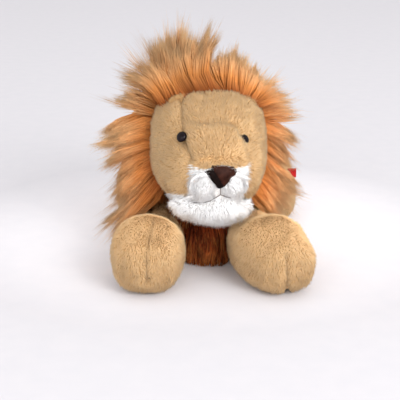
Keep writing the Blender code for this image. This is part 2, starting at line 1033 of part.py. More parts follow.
def mane_piece(name, degrees):
    """One length of the mane round the face, with pointed locks along its rim."""
    low, high = degrees
    inner = head_width / 2 * mane_inner_share
    arc = math.radians(high - low) * mane_radius
    steps_each = 4
    steps = max(round(arc / mane_lock_width), 1) * steps_each
    low += math.degrees(seat_gap / inner)
    high -= math.degrees(seat_gap / inner)
    rings = []
    for step in range(steps + 1):
        angle = low + (high - low) * step / steps
        lock = abs(2 * (step % steps_each) / steps_each - 1)
        reach = mane_radius_at(angle) * (1 - mane_notch_share * lock)
        outward = Vector((math.cos(math.radians(angle)), 0, math.sin(math.radians(angle))))
        front = -mane_front - mane_brow_forward * max(outward.z, 0)
        outline = (
            (inner, front),
            (reach * mane_brow_share, (front + mane_ridge) * mane_brow_depth_share),
            (reach, mane_ridge),
            (reach * mane_back_share, mane_back),
            (inner, mane_back),
        )
        rings.append([outward * away + axis_y * y for away, y in outline])
    points = [point for ring in rings for point in ring]
    sides = len(rings[0])
    faces = [tuple(range(sides)), tuple(range(len(points) - sides, len(points)))]
    for row in range(steps):
        for side in range(sides):
            after = (side + 1) % sides
            low_row, high_row = row * sides, (row + 1) * sides
            faces.append((low_row + side, low_row + after, high_row + after, high_row + side))
    return move_mesh(closed_object(name, points, faces, rust_hair()), head_place)


def build_mane(body_room):
    """The long hair round the face and down the nape, each piece sewn to the head."""
    head_room = bpy.data.objects["head_room"]
    pieces = [
        mane_piece("mane_crown", crown_degrees),
        mane_piece("mane_cheek_left", left_cheek_degrees),
        mane_piece("mane_cheek_right", right_cheek_degrees),
    ]
    level = paw_height + neck_turn_room
    for piece in pieces:
        slice_off(piece, axis_z * level, -axis_z)
    stations = tuple(
        Station(
            Vector((0, mane_back * back, mane_nape_height * rise)), mane_nape_width * size,
            mane_nape_height * size,
        )
        for back, rise, size in mane_nape_shares
    )
    nape_form = Form(stations, mane_nape_round, mane_nape_round)
    nape = form_object("mane_nape", nape_form, rust_hair())
    slice_off(nape, axis_y * (mane_back + seat_gap), -axis_y)
    pieces.append(move_mesh(nape, head_place))
    ear_rooms = [bpy.data.objects[f"ear_room_{name}"] for name in ("left", "right")]
    for piece in pieces:
        cut(piece, head_room, *body_room, *ear_rooms)
    return pieces


def build_collar():
    """The mane's hair over the shoulders, behind the neck, sewn to the body."""
    top = shelf_level - seat_gap
    profile = [(0, collar_foot)]
    for share, height_share in collar_outline_shares:
        profile.append((collar_radius * share, collar_foot + (top - collar_foot) * height_share))
    profile.append((0, top))
    collar = turned_object("mane_collar", profile, neck_centre, turning_sides, rust_hair())
    front = neck_centre + axis_y * (neck_radius / 4)
    slice_off(collar, front, -axis_y)
    return clear_of_body(collar)


def clear_of_body(hair):
    """Cuts a piece of hair clear of the body, the neck and the shoulders."""
    cut(hair, bpy.data.objects["body_room"], bpy.data.objects["neck_room"])
    cut(hair, bpy.data.objects["foreleg_left_room"], bpy.data.objects["foreleg_right_room"])
    return hair


def build_ruff():
    """The dark hair on the chest, between the forelegs."""
    form = Form(
        (
            floor_station(0, -chest_forward, ruff_width, ruff_height * ruff_back_height_share),
            floor_station(0, -ruff_forward, ruff_width * ruff_front_width_share, ruff_height),
        ),
        ruff_round,
        ruff_round,
        stands=True,
    )
    ruff = form_object("mane_chest", form, rust_hair())
    rest_on_floor(ruff)
    return clear_of_body(ruff)


def build_label(leg):
    """A small folded label of plain cloth, sewn into the thigh's seam."""
    surface = surface_of([leg])
    y = (thigh_back + hind_foot_back) / 2
    z = thigh_height * label_rise_share
    place, _, _, _ = surface.ray_cast(Vector((thigh_spread * 2, y, z)), -axis_x)
    low = place - Vector((label_length, label_thickness / 2, label_width / 2))
    high = place + Vector((label_length, label_thickness / 2, label_width / 2))
    label = box_object("label", low, high, label_cloth())
    cut(label, form_object("label_room", hind_leg_form(1), grow=seat_gap))
    set_origin(label, hip_centre(1))
    return label


def main():
    clear_scene()
    build_body()
    limbs = {}
    for name, side in (("left", 1), ("right", -1)):
        limbs[f"foreleg_{name}"] = build_limb(
            f"foreleg_{name}", foreleg_form(side), shoulder_centre(side), shoulder_radius,
            shoulder_height, side,
        )
        limbs[f"hind_leg_{name}"] = build_limb(
            f"hind_leg_{name}", hind_leg_form(side), hip_centre(side), hip_radius,
            hip_leg_height, side,
        )
    build_label(limbs["hind_leg_left"][0])
    build_tail()
    form_object("body_room", torso_form(), grow=seat_gap, sides=body_sides)
    neck_dome("neck_room", seat_gap, foot=chest_height / 3 - seat_gap)
    build_ruff()
    build_collar()
    body_room = room_for_body()
    skin, filling = build_head(body_room)
    eyes = build_eyes(skin, filling)
    face = build_muzzle(skin)
    on_the_head = [skin, filling, *eyes, *face, *build_ears(), *build_mane(body_room)]
    for piece in on_the_head:
        set_origin(piece, neck_centre)


main()
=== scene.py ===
"""The plush lion's looks: stuffed covers, short pile, the long mane, the face and the floor."""

import logging
import math
from collections.abc import Sequence
from dataclasses import dataclass, field, replace
from enum import Enum

import bmesh
import bpy
import numpy as np
from mathutils import Matrix, Vector, noise
from mathutils.bvhtree import BVHTree


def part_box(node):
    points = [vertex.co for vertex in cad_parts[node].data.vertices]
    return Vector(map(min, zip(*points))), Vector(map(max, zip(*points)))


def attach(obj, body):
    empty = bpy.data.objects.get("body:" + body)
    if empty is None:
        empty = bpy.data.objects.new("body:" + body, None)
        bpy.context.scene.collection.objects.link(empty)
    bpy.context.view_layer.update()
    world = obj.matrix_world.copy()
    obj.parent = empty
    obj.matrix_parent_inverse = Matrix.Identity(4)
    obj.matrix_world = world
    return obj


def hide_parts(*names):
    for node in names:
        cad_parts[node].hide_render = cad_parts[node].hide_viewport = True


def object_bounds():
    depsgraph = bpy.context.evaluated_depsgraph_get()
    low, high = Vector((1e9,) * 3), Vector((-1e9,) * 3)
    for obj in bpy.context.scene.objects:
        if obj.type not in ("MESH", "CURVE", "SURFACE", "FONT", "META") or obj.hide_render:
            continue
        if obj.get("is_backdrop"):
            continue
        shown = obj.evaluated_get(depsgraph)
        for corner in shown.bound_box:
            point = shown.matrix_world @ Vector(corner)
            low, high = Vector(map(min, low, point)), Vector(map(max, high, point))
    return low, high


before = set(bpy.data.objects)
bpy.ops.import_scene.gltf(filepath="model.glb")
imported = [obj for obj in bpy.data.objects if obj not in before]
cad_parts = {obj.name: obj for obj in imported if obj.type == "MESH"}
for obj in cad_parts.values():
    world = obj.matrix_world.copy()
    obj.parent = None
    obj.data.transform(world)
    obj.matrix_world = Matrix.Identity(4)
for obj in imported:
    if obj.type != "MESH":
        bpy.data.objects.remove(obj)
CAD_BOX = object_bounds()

NOISE_SEED = 5
noise.seed_set(NOISE_SEED)

logging.basicConfig(level=logging.INFO, format="%(message)s")
log = logging.getLogger("lion")

Colour = tuple[float, float, float]
Flat = tuple[float, float]
Place = tuple[float, float, float]
Line = tuple[Flat, ...]
Array = np.ndarray
Mesh, Object = bpy.types.Mesh, bpy.types.Object
Node, Socket = bpy.types.Node, bpy.types.NodeSocket

MM_PER_METRE = 1000
HEAD_CENTRE = Vector((0.0, -0.132, 0.1415))
HEAD_TURN, HEAD_TILT = math.radians(9), math.radians(2)
HEAD_PLACE = (
    Matrix.Translation(HEAD_CENTRE) @ Matrix.Rotation(HEAD_TURN, 4, "Z") @ Matrix.Rotation(HEAD_TILT, 4, "Y")
)
FLOOR_CLEARANCE = 0.0004
# Next to a sewn joint a cover swells towards its solid's surface, so that two covers meet.
JOINT_REACH, JOINT_INSET, JOINT_GAIN = 0.014, 0.0008, 1.5
# How far hair may pass the CAD model's box: a share of each side, and a margin.
ROOM_SHARE, ROOM_MARGIN = 0.03, 0.0095
# Wander reads the noise at places shifted by this for each seed.
NOISE_SHIFT = (3.7, 1.3, 2.1)
# Short pile is ruffled over these distances, each with its strength, and dyed in patches of these sizes.
RUFFLES, PATCHES = ((0.018, 0.7), (0.007, 0.9)), (0.022, 0.008)
# Short pile's middle tone, how far its patches go from there, and how far it arches for its length.
PILE_TONE, PATCH_DEPTH, PILE_ARCH = 0.55, 0.45, 0.4


def room_of(box: Sequence[Sequence[float]]) -> tuple[Place, Place]:
    """The corners that no strand passes: a little outside the CAD model, and above the floor.

    Args:
        box: the CAD model's lowest and highest corners.

    Returns:
        The room's lowest and highest corners.
    """
    low, high = (np.array(tuple(corner)) for corner in box)
    spare = (high - low) * ROOM_SHARE + ROOM_MARGIN
    low, high = low - spare, high + spare
    low[2] = FLOOR_CLEARANCE
    return tuple(low.tolist()), tuple(high.tolist())


ROOM = room_of(CAD_BOX)


class Side(Enum):
    """The lion's own left or right, and its sign along X."""

    LEFT = 1
    RIGHT = -1

    @property
    def word(self) -> str:
        """The side's name inside node names."""
        return self.name.lower()


def shade(code: str) -> Colour:
    """Turns a display colour into a linear one, along the sRGB curve.

    Args:
        code: six hexadecimal digits.

    Returns:
        Linear red, green and blue.
    """
    values = [int(code[i : i + 2], 16) / 255 for i in (0, 2, 4)]
    return tuple(v / 12.92 if v <= 0.04045 else ((v + 0.055) / 1.055) ** 2.4 for v in values)


def grey(value: float) -> Colour:
    """A linear colour with three equal parts."""
    return (value,) * 3


def moved(points: Array, matrix: Matrix) -> Array:
    """Applies a matrix to an array of points."""
    array = np.array(matrix)
    return points @ array[:3, :3].T + array[:3, 3]


def turned(vectors: Array, matrix: Matrix) -> Array:
    """Turns an array of directions by a matrix."""
    return vectors @ np.array(matrix)[:3, :3].T


def to_head(points: Array) -> Array:
    """Turns points of the frame into the head's own axes, about its centre."""
    return moved(points, HEAD_PLACE.inverted())


def from_head(way: Place) -> Array:
    """Turns one direction of the head's own axes into the frame's."""
    return turned(np.array([way]), HEAD_PLACE)[0]


def unit(vectors: Array) -> Array:
    """Scales each vector to length one."""
    return vectors / np.maximum(np.linalg.norm(vectors, axis=-1, keepdims=True), 1e-9)


def rising(values: Array, start: Array | float, span: float) -> Array:
    """Nought up to the start, growing evenly to one over the span."""
    return np.clip((values - start) / span, 0, 1)


def falling(values: Array, end: float, span: float) -> Array:
    """Nought from the end on, and one from a span before it."""
    return np.clip((end - values) / span, 0, 1)


def bump(distance: Array, width: float) -> Array:
    """One at no distance, falling smoothly to nothing beyond a width."""
    return np.exp(-((distance / width) ** 2))


def wander(points: Array, size: float, seed: int) -> Array:
    """Smooth random vectors over space.

    Args:
        points: where to read them.
        size: how far apart they change, in metres.
        seed: picks another pattern.

    Returns:
        One vector for each point, each part between -1 and 1.
    """
    shift = Vector([seed * part for part in NOISE_SHIFT])
    return np.array([noise.noise_vector(Vector(point) / size + shift) for point in points])


def uneven(points: Array, middle: float, spread: float, size: float, seed: int) -> Array:
    """A number that wanders over space about a middle value.

    Args:
        points: where to read it.
        middle: its middle value.
        spread: how far it goes from there.
        size: how far apart it changes, in metres.
        seed: picks another pattern.

    Returns:
        One column, with a row for each point.
    """
    return middle + spread * wander(points, size, seed)[:, :1]


def vectors_of(mesh: Mesh, kind: str) -> Array:
    """Reads one vector from each point of a mesh.

    Args:
        mesh: where they are read.
        kind: "co" for places, or "normal".

    Returns:
        A row for each point.
    """
    flat = np.empty(len(mesh.vertices) * 3, np.float32)
    mesh.vertices.foreach_get(kind, flat)
    return flat.reshape(-1, 3).astype(float)


def points_of(mesh: Mesh) -> Array:
    """The mesh's points."""
    return vectors_of(mesh, "co")


def normals_of(mesh: Mesh) -> Array:
    """The mesh's point normals."""
    return vectors_of(mesh, "normal")


def head_points(mesh: Mesh) -> Array:
    """The mesh's points in the head's own axes."""
    return to_head(points_of(mesh))


def head_normals(mesh: Mesh) -> Array:
    """The mesh's point normals in the head's own axes."""
    return turned(normals_of(mesh), HEAD_PLACE.inverted())


def set_points(mesh: Mesh, points: Array) -> None:
    """Moves the mesh's points."""
    mesh.vertices.foreach_set("co", points.astype(np.float32).ravel())
    mesh.update()


def set_head_points(mesh: Mesh, local: Array) -> None:
    """Moves the mesh's points to places in the head's own axes."""
    set_points(mesh, moved(local, HEAD_PLACE))


def set_field(mesh: Mesh, name: str, values: Array) -> None:
    """Stores a number or a vector at each point of a mesh.

    Args:
        mesh: where it is stored.
        name: the attribute's name.
        values: a number or a row of three for each point.
    """
    vector = values.ndim == 2
    kind = "FLOAT_VECTOR" if vector else "FLOAT"
    made = mesh.attributes.get(name) or mesh.attributes.new(name, kind, "POINT")
    made.data.foreach_set("vector" if vector else "value", values.astype(np.float32).ravel())


def add_object(name: str, data: bpy.types.ID | None) -> Object:
    """Puts a mesh, curve, light or camera in the scene, at the origin.

    Args:
        name: the object's name.
        data: what it shows.

    Returns:
        The object.
    """
    made = bpy.data.objects.new(name, data)
    bpy.context.scene.collection.objects.link(made)
    return made


def mesh_from(shape: bmesh.types.BMesh, name: str) -> Mesh:
    """Writes a shape into a new mesh, and frees the shape.

    Args:
        shape: what is written.
        name: the mesh's name.

    Returns:
        The mesh.
    """
    mesh = bpy.data.meshes.new(name)
    shape.to_mesh(mesh)
    shape.free()
    return mesh


def baked_mesh(source: Object, name: str) -> Mesh:
    """Turns an object with its modifiers into a plain mesh, and removes the object.

    Args:
        source: the object.
        name: the new mesh's name.

    Returns:
        The plain mesh.
    """
    bpy.context.view_layer.update()
    graph = bpy.context.evaluated_depsgraph_get()
    mesh = bpy.data.meshes.new_from_object(source.evaluated_get(graph), depsgraph=graph)
    mesh.name = name
    bpy.data.objects.remove(source)
    return mesh


def relaxed(mesh: Mesh, points: Array, passes: int, amount: float = 0.5, back: float = 0.9) -> Array:
    """Evens out points over a mesh, without shrinking it much.

    Args:
        mesh: gives the edges.
        points: where its points are now.
        passes: how many times each point moves towards its neighbours and back.
        amount: how far it moves each time.
        back: how much of that it moves back.

    Returns:
        The evened points.
    """
    ends = np.empty(len(mesh.edges) * 2, np.int32)
    mesh.edges.foreach_get("vertices", ends)
    first, second = ends.reshape(-1, 2).T
    count = len(points)
    degree = np.maximum(np.bincount(first, minlength=count) + np.bincount(second, minlength=count), 1)
    for step in range(passes * 2):
        total = np.stack([
            np.bincount(first, points[second, axis], count) + np.bincount(second, points[first, axis], count)
            for axis in range(3)
        ], axis=1)
        share = amount if step % 2 == 0 else -amount * back
        points = points + (total / degree[:, None] - points) * share
    return points


def outer_shell(mesh: Mesh) -> None:
    """Keeps only the shell that reaches furthest from front to back.

    Args:
        mesh: one or more closed shells, changed in place.
    """
    shape = bmesh.new()
    shape.from_mesh(mesh)
    left, shells = set(shape.verts), []
    while left:
        seed = left.pop()
        shell, edge = [seed], [seed]
        while edge:
            for link in edge.pop().link_edges:
                for vertex in link.verts:
                    if vertex in left:
                        left.remove(vertex)
                        shell.append(vertex)
                        edge.append(vertex)
        shells.append(shell)
    shells.sort(key=lambda shell: max(v.co.y for v in shell) - min(v.co.y for v in shell))
    bmesh.ops.delete(shape, geom=[v for shell in shells[:-1] for v in shell], context="VERTS")
    bmesh.ops.recalc_face_normals(shape, faces=shape.faces)
    shape.to_mesh(mesh)
    shape.free()


def cad_copy(nodes: Sequence[str]) -> Mesh:
    """One merged mesh from copies of CAD nodes.

    Args:
        nodes: their names.

    Returns:
        The mesh.
    """
    shape = bmesh.new()
    for node in nodes:
        shape.from_mesh(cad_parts[node].data)
    bmesh.ops.remove_doubles(shape, verts=shape.verts, dist=1e-5)
    return mesh_from(shape, "copy")


def in_order(mesh: Mesh) -> Mesh:
    """Rebuilds a mesh with its points and faces in a fixed order, which Blender leaves to chance.

    Args:
        mesh: what is rebuilt, and then removed.

    Returns:
        The new mesh.
    """
    points = points_of(mesh)
    order = np.lexsort(np.round(points, 6).T)
    rank = np.empty(len(order), int)
    rank[order] = np.arange(len(order))
    faces = []
    for polygon in mesh.polygons:
        corners = [int(rank[index]) for index in polygon.vertices]
        first = corners.index(min(corners))
        faces.append(tuple(corners[first:] + corners[:first]))
    fresh = bpy.data.meshes.new(mesh.name)
    fresh.from_pydata(points[order].tolist(), [], sorted(faces))
    fresh.update()
    bpy.data.meshes.remove(mesh)
    return fresh


def remeshed(mesh: Mesh, voxel: float, passes: int) -> Mesh:
    """An even, rounded skin round a mesh.

    Args:
        mesh: what it wraps.
        voxel: its grid, in metres.
        passes: how much it is evened out.

    Returns:
        The skin's mesh.
    """
    holder = add_object("holder", mesh)
    step = holder.modifiers.new("skin", "REMESH")
    step.mode = "VOXEL"
    step.voxel_size = voxel
    skin = baked_mesh(holder, "skin")
    outer_shell(skin)
    skin = in_order(skin)
    set_points(skin, relaxed(skin, points_of(skin), passes))
    return skin


def swollen(mesh: Mesh, distance: Array | float) -> None:
    """Moves each point along its normal."""
    step = np.broadcast_to(np.asarray(distance, float), (len(mesh.vertices),))
    set_points(mesh, points_of(mesh) + normals_of(mesh) * step[:, None])


def lifted_clear(mesh: Mesh) -> Array:
    """Keeps every point just above the floor.

    Args:
        mesh: what is kept there.

    Returns:
        Its points.
    """
    points = points_of(mesh)
    points[:, 2] = np.maximum(points[:, 2], FLOOR_CLEARANCE)
    set_points(mesh, points)
    return points


def soft_cover(nodes: Sequence[str], voxel: float, passes: int, inset: float) -> Mesh:
    """A rounded skin inside the CAD solids, clear of the floor.

    Args:
        nodes: the solids that it wraps.
        voxel: its grid, in metres.
        passes: how much it is evened out.
        inset: how far inside the solids' surface it lies.

    Returns:
        The skin's mesh.
    """
    mesh = remeshed(cad_copy(nodes), voxel, passes)
    swollen(mesh, -inset)
    lifted_clear(mesh)
    return mesh


def tree_of(mesh: Mesh) -> BVHTree:
    """A search tree of a mesh's faces."""
    return BVHTree.FromPolygons([v.co for v in mesh.vertices], [tuple(p.vertices) for p in mesh.polygons])


def is_inside(points: Array, tree: BVHTree, margin: float) -> Array:
    """Which points lie inside a closed mesh.

    Args:
        points: what is asked about.
        tree: the mesh's faces.
        margin: how deep inside they have to be.

    Returns:
        True or false for each point.
    """
    found = np.zeros(len(points), bool)
    for index, point in enumerate(points):
        place, normal, _, _ = tree.find_nearest(Vector(point))
        found[index] = (Vector(point) - place).dot(normal) < -margin
    return found


def close_up(mesh: Mesh, neighbours: Sequence[str], inset: float) -> None:
    """Swells a cover towards its solid's surface where it meets its neighbours.

    Args:
        mesh: the cover.
        neighbours: the CAD nodes that it is sewn to.
        inset: how far inside its solid it lies.
    """
    joined = cad_copy(neighbours)
    tree = tree_of(joined)
    bpy.data.meshes.remove(joined)
    points = points_of(mesh)
    away = np.array([tree.find_nearest(Vector(point), JOINT_REACH)[3] or JOINT_REACH for point in points])
    near = np.clip(JOINT_GAIN * (1 - away / JOINT_REACH), 0, 1)
    swollen(mesh, near * (inset - JOINT_INSET))


def line_distance(points: Array, line: Line) -> Array:
    """How far each flat point lies from a line of straight pieces.

    Args:
        points: flat points, two numbers each.
        line: the places that the line goes through.

    Returns:
        The distances.
    """
    best = np.full(len(points), np.inf)
    for start, end in zip(line, line[1:]):
        a, span = np.array(start, float), np.subtract(end, start)
        along = np.clip((points - a) @ span / (span @ span), 0, 1)
        best = np.minimum(best, np.linalg.norm(points - a - along[:, None] * span, axis=1))
    return best


def paint(mesh: Mesh, share: Array) -> None:
    """Gives the mesh's second material to the faces where a share is over a half."""
    for polygon in mesh.polygons:
        polygon.material_index = int(np.mean(share[list(polygon.vertices)]) > 0.5)


class Nodes:
    """Adds nodes to a tree, and links or sets their inputs."""

    def __init__(self, tree: bpy.types.NodeTree) -> None:
        """Starts on a tree."""
        self.tree = tree

    def add(self, kind: str, inputs: dict[str | int, object] | None = None, **settings: object) -> Node:
        """Adds one node.

        Args:
            kind: the node's type.
            inputs: what each input takes, a socket or a value.
            **settings: the node's own properties.

        Returns:
            The node.
        """
        made = self.tree.nodes.new(kind)
        for name, value in settings.items():
            setattr(made, name, value)
        for key, value in (inputs or {}).items():
            self.feed(made.inputs[key], value)
        return made

    def feed(self, socket: Socket, value: object) -> None:
        """Links a socket, or sets its value.

        Args:
            socket: the input.
            value: another socket, or a plain value.
        """
        if isinstance(value, Socket):
            self.tree.links.new(value, socket)
        else:
            socket.default_value = value

    def number(self, operation: str, *values: object, clamp: bool = False) -> Socket:
        """A sum on numbers.

        Args:
            operation: what is done.
            *values: sockets or numbers.
            clamp: whether the result is kept between nought and one.

        Returns:
            The result.
        """
        made = self.add("ShaderNodeMath", dict(enumerate(values)), operation=operation, use_clamp=clamp)
        return made.outputs[0]

    def linear(self, value: Socket, scale: float, start: float) -> Socket:
        """A number times a scale, plus a start."""
        return self.number("ADD", self.number("MULTIPLY", value, scale), start)

    def vector(self, operation: str, *values: object) -> Socket:
        """A sum on vectors.

        Args:
            operation: what is done.
            *values: sockets or vectors.

        Returns:
            The result, a number for a length.
        """
        made = self.add("ShaderNodeVectorMath", dict(enumerate(values)), operation=operation)
        return made.outputs["Value" if operation == "LENGTH" else "Vector"]

    def scaled(self, vector: Socket, scale: object) -> Socket:
        """A vector times a number."""
        made = self.add("ShaderNodeVectorMath", {0: vector, "Scale": scale}, operation="SCALE")
        return made.outputs[0]

    def between(self, start: Socket, end: Socket, share: object) -> Socket:
        """The vector a share of the way from start to end."""
        return self.vector("ADD", start, self.scaled(self.vector("SUBTRACT", end, start), share))

    def place(self) -> Socket:
        """The piece's own coordinates, for a material."""
        return self.add("ShaderNodeTexCoord").outputs["Object"]

    def cloud(self, place: Socket, scale: float, detail: float) -> Socket:
        """A smooth random pattern.

        Args:
            place: where it is read.
            scale: how many changes there are in a metre.
            detail: how many finer patterns are added.

        Returns:
            A number about a half.
        """
        return self.add("ShaderNodeTexNoise", {"Vector": place, "Scale": scale, "Detail": detail}).outputs[0]

    def cells(self, place: Socket, size: float) -> Socket:
        """The distance to the nearest of many scattered middles, a size apart."""
        return self.add("ShaderNodeTexVoronoi", {"Vector": place, "Scale": 1 / size}).outputs["Distance"]

    def ramp(self, share: Socket, *stops: tuple[float, Colour]) -> Socket:
        """Colours along a share from nought to one.

        Args:
            share: what picks the colour.
            *stops: each share and its linear colour.

        Returns:
            The colour.
        """
        made = self.add("ShaderNodeValToRGB", {"Fac": share})
        elements = made.color_ramp.elements
        while len(elements) < len(stops):
            elements.new(0.5)
        for element, (place, _) in zip(elements, stops):
            element.position = place
        for element, (_, colour) in zip(elements, stops):
            element.color = (*colour, 1.0)
        return made.outputs["Color"]

    def multiplied(self, first: Socket, second: Socket) -> Socket:
        """Two colours multiplied.

        Args:
            first: one colour.
            second: the other.

        Returns:
            The darker colour that they make.
        """
        made = self.add("ShaderNodeMix", data_type="RGBA", blend_type="MULTIPLY")
        factor = next(s for s in made.inputs if s.type == "VALUE")
        colours = [s for s in made.inputs if s.type == "RGBA"]
        for socket, value in zip((factor, *colours), (1.0, first, second)):
            self.feed(socket, value)
        return next(s for s in made.outputs if s.type == "RGBA")


class Draw(Enum):
    """Each random draw of the strands' tree, and what it adds to the seed."""

    ROOTS = 0
    LENGTH = 1
    STRAY = 2
    LOOSENESS = 3
    TONE = 4
    LOCKS = 5
    GUIDES = 9


class StrandTree(Nodes):
    """The Geometry Nodes tree that grows strands on a surface, drawn together into locks."""

    SIZES = {
        "Density": ("NodeSocketFloat", 1e5),
        "Guide Density": ("NodeSocketFloat", 1e4),
        "Lock Density": ("NodeSocketFloat", 1e3),
        "Width": ("NodeSocketFloat", 0.001),
        "Clump": ("NodeSocketFloat", 0.5),
        "Lock Clump": ("NodeSocketFloat", 0.5),
        "Length Spread": ("NodeSocketFloat", 0.2),
        "Stray": ("NodeSocketFloat", 0.1),
        "Tone Spread": ("NodeSocketFloat", 0.3),
        "Segments": ("NodeSocketInt", 4),
        "Seed": ("NodeSocketInt", 1),
        "Material": ("NodeSocketMaterial", None),
    }
    STORED = ("tip", "lift", "cover", "tone", "side", "root", "bend", "end", "shade")
    # How much of a strand's pull to its guide reaches its bend.
    BEND_PULL = 0.55
    # The higher, the fewer strands stay out of their lock.
    LOOSE_POWER = 3.0
    # How much fuller than a plain cone a strand is towards its tip.
    FULLNESS = 1.1
    # Any direction that no strand is likely to take.
    ASIDE = (0.31, 0.52, 0.79)
    # The map's own scale and start, which keep it off its edges, and a strand's width on it.
    MAP_TONE, MAP_HEIGHT, MAP_WIDTH = (0.94, 0.03), (0.93, 0.035), 0.012

    def __init__(self) -> None:
        """Builds the tree."""
        super().__init__(bpy.data.node_groups.new("strands", "GeometryNodeTree"))
        face = self.tree.interface
        face.new_socket("Geometry", in_out="INPUT", socket_type="NodeSocketGeometry")
        for name, (kind, value) in self.SIZES.items():
            made = face.new_socket(name, in_out="INPUT", socket_type=kind)
            if value is not None:
                made.default_value = value
        face.new_socket("Geometry", in_out="OUTPUT", socket_type="NodeSocketGeometry")
        self.entry = self.add("NodeGroupInput")
        self.identifiers = {item.name: item.identifier for item in face.items_tree if item.in_out == "INPUT"}
        strands = self.shaped(self.planted())
        dressed = {"Geometry": strands, "Material": self.size("Material")}
        self.add("NodeGroupOutput", {"Geometry": self.add("GeometryNodeSetMaterial", dressed).outputs[0]})

    def size(self, name: str) -> Socket:
        """The tree's own input of that name."""
        return self.entry.outputs[name]

    def named(self, name: str, kind: str = "FLOAT_VECTOR") -> Socket:
        """Reads a named attribute."""
        return self.add("GeometryNodeInputNamedAttribute", {"Name": name}, data_type=kind).outputs[0]

    def stored(
        self, geometry: Socket, name: str, value: Socket, kind: str = "FLOAT_VECTOR", domain: str = "POINT"
    ) -> Socket:
        """Writes a named attribute.

        Args:
            geometry: what it is written on.
            name: the attribute's name.
            value: what it holds.
            kind: its type.
            domain: points or corners.

        Returns:
            The geometry with it.
        """
        made = self.add(
            "GeometryNodeStoreNamedAttribute", {"Geometry": geometry, "Name": name, "Value": value},
            data_type=kind, domain=domain,
        )
        return made.outputs[0]

    def seeded(self, draw: Draw) -> Socket:
        """The seed of one random draw."""
        return self.number("ADD", self.size("Seed"), draw.value)

    def chance(self, draw: Draw, low: float = 0.0, high: float = 1.0) -> Socket:
        """A random number for each strand.

        Args:
            draw: which draw it is.
            low: its least value.
            high: its most.

        Returns:
            The number.
        """
        made = self.add("FunctionNodeRandomValue", data_type="FLOAT")
        for socket in made.inputs:
            if socket.type == "VALUE" and socket.name in ("Min", "Max"):
                socket.default_value = low if socket.name == "Min" else high
        self.feed(made.inputs["Seed"], self.seeded(draw))
        return next(s for s in made.outputs if s.type == "VALUE")

    def chances(self, draw: Draw) -> Socket:
        """A random vector for each strand.

        Args:
            draw: which draw it is.

        Returns:
            The vector, each part of it between -1 and 1.
        """
        made = self.add("FunctionNodeRandomValue", {0: (-1, -1, -1), 1: (1, 1, 1)}, data_type="FLOAT_VECTOR")
        self.feed(made.inputs["Seed"], self.seeded(draw))
        return made.outputs[0]

    def spots(self, density: Socket, draw: Draw) -> Socket:
        """Random places on the surface, fewer where its cover is low.

        Args:
            density: how many there are in a square metre.
            draw: which draw it is.

        Returns:
            The places.
        """
        thinned = self.number("MULTIPLY", density, self.named("cover", "FLOAT"))
        made = self.add(
            "GeometryNodeDistributePointsOnFaces",
            {"Mesh": self.entry.outputs["Geometry"], "Density": thinned, "Seed": self.seeded(draw)},
            distribute_method="RANDOM",
        )
        return made.outputs["Points"]

    def read_nearest(self, source: Socket, *values: Socket) -> list[Socket]:
        """What the nearest point of another geometry holds.

        Args:
            source: the other geometry.
            *values: what is read there.

        Returns:
            Each value at that point.
        """
        place = self.add("GeometryNodeInputPosition").outputs[0]
        asked = {"Geometry": source, "Sample Position": place}
        nearest = self.add("GeometryNodeSampleNearest", asked, domain="POINT").outputs[0]
        kinds = {"data_type": "FLOAT_VECTOR", "domain": "POINT"}
        reads = ({"Geometry": source, "Value": value, "Index": nearest} for value in values)
        return [self.add("GeometryNodeSampleIndex", read, **kinds).outputs[0] for read in reads]

    def planted(self) -> Socket:
        """Plants the strands' roots, each with the curve that it follows.

        Returns:
            The roots, with root, bend, end and shade stored on them.
        """
        place = self.add("GeometryNodeInputPosition").outputs[0]
        tip = self.named("tip")
        reach, arch = self.vector("ADD", place, tip), self.vector("ADD", place, self.named("lift"))
        locks = self.spots(self.size("Lock Density"), Draw.LOCKS)
        lock_end = self.read_nearest(locks, reach)[0]
        guides = self.spots(self.size("Guide Density"), Draw.GUIDES)
        guides = self.stored(guides, "end", self.between(reach, lock_end, self.size("Lock Clump")))
        guides = self.stored(guides, "bend", arch)
        near_end, near_bend = self.read_nearest(guides, self.named("end"), self.named("bend"))
        spread = self.number("MULTIPLY", self.size("Length Spread"), self.chance(Draw.LENGTH, -1.0, 1.0))
        own_end = self.vector("ADD", place, self.scaled(tip, self.number("ADD", 1.0, spread)))
        stray = self.number("MULTIPLY", self.vector("LENGTH", tip), self.size("Stray"))
        own_end = self.vector("ADD", own_end, self.scaled(self.chances(Draw.STRAY), stray))
        loose = self.number("POWER", self.chance(Draw.LOOSENESS), self.LOOSE_POWER)
        pull = self.number("MULTIPLY", self.size("Clump"), self.number("SUBTRACT", 1.0, loose))
        lean = self.number("MULTIPLY", self.size("Tone Spread"), self.chance(Draw.TONE, -0.5, 0.5))
        roots = self.stored(self.spots(self.size("Density"), Draw.ROOTS), "root", place)
        bend_pull = self.number("MULTIPLY", pull, self.BEND_PULL)
        roots = self.stored(roots, "bend", self.between(arch, near_bend, bend_pull))
        roots = self.stored(roots, "end", self.between(own_end, near_end, pull))
        tone = self.number("ADD", self.named("tone", "FLOAT"), lean, clamp=True)
        return self.stored(roots, "shade", tone, "FLOAT")

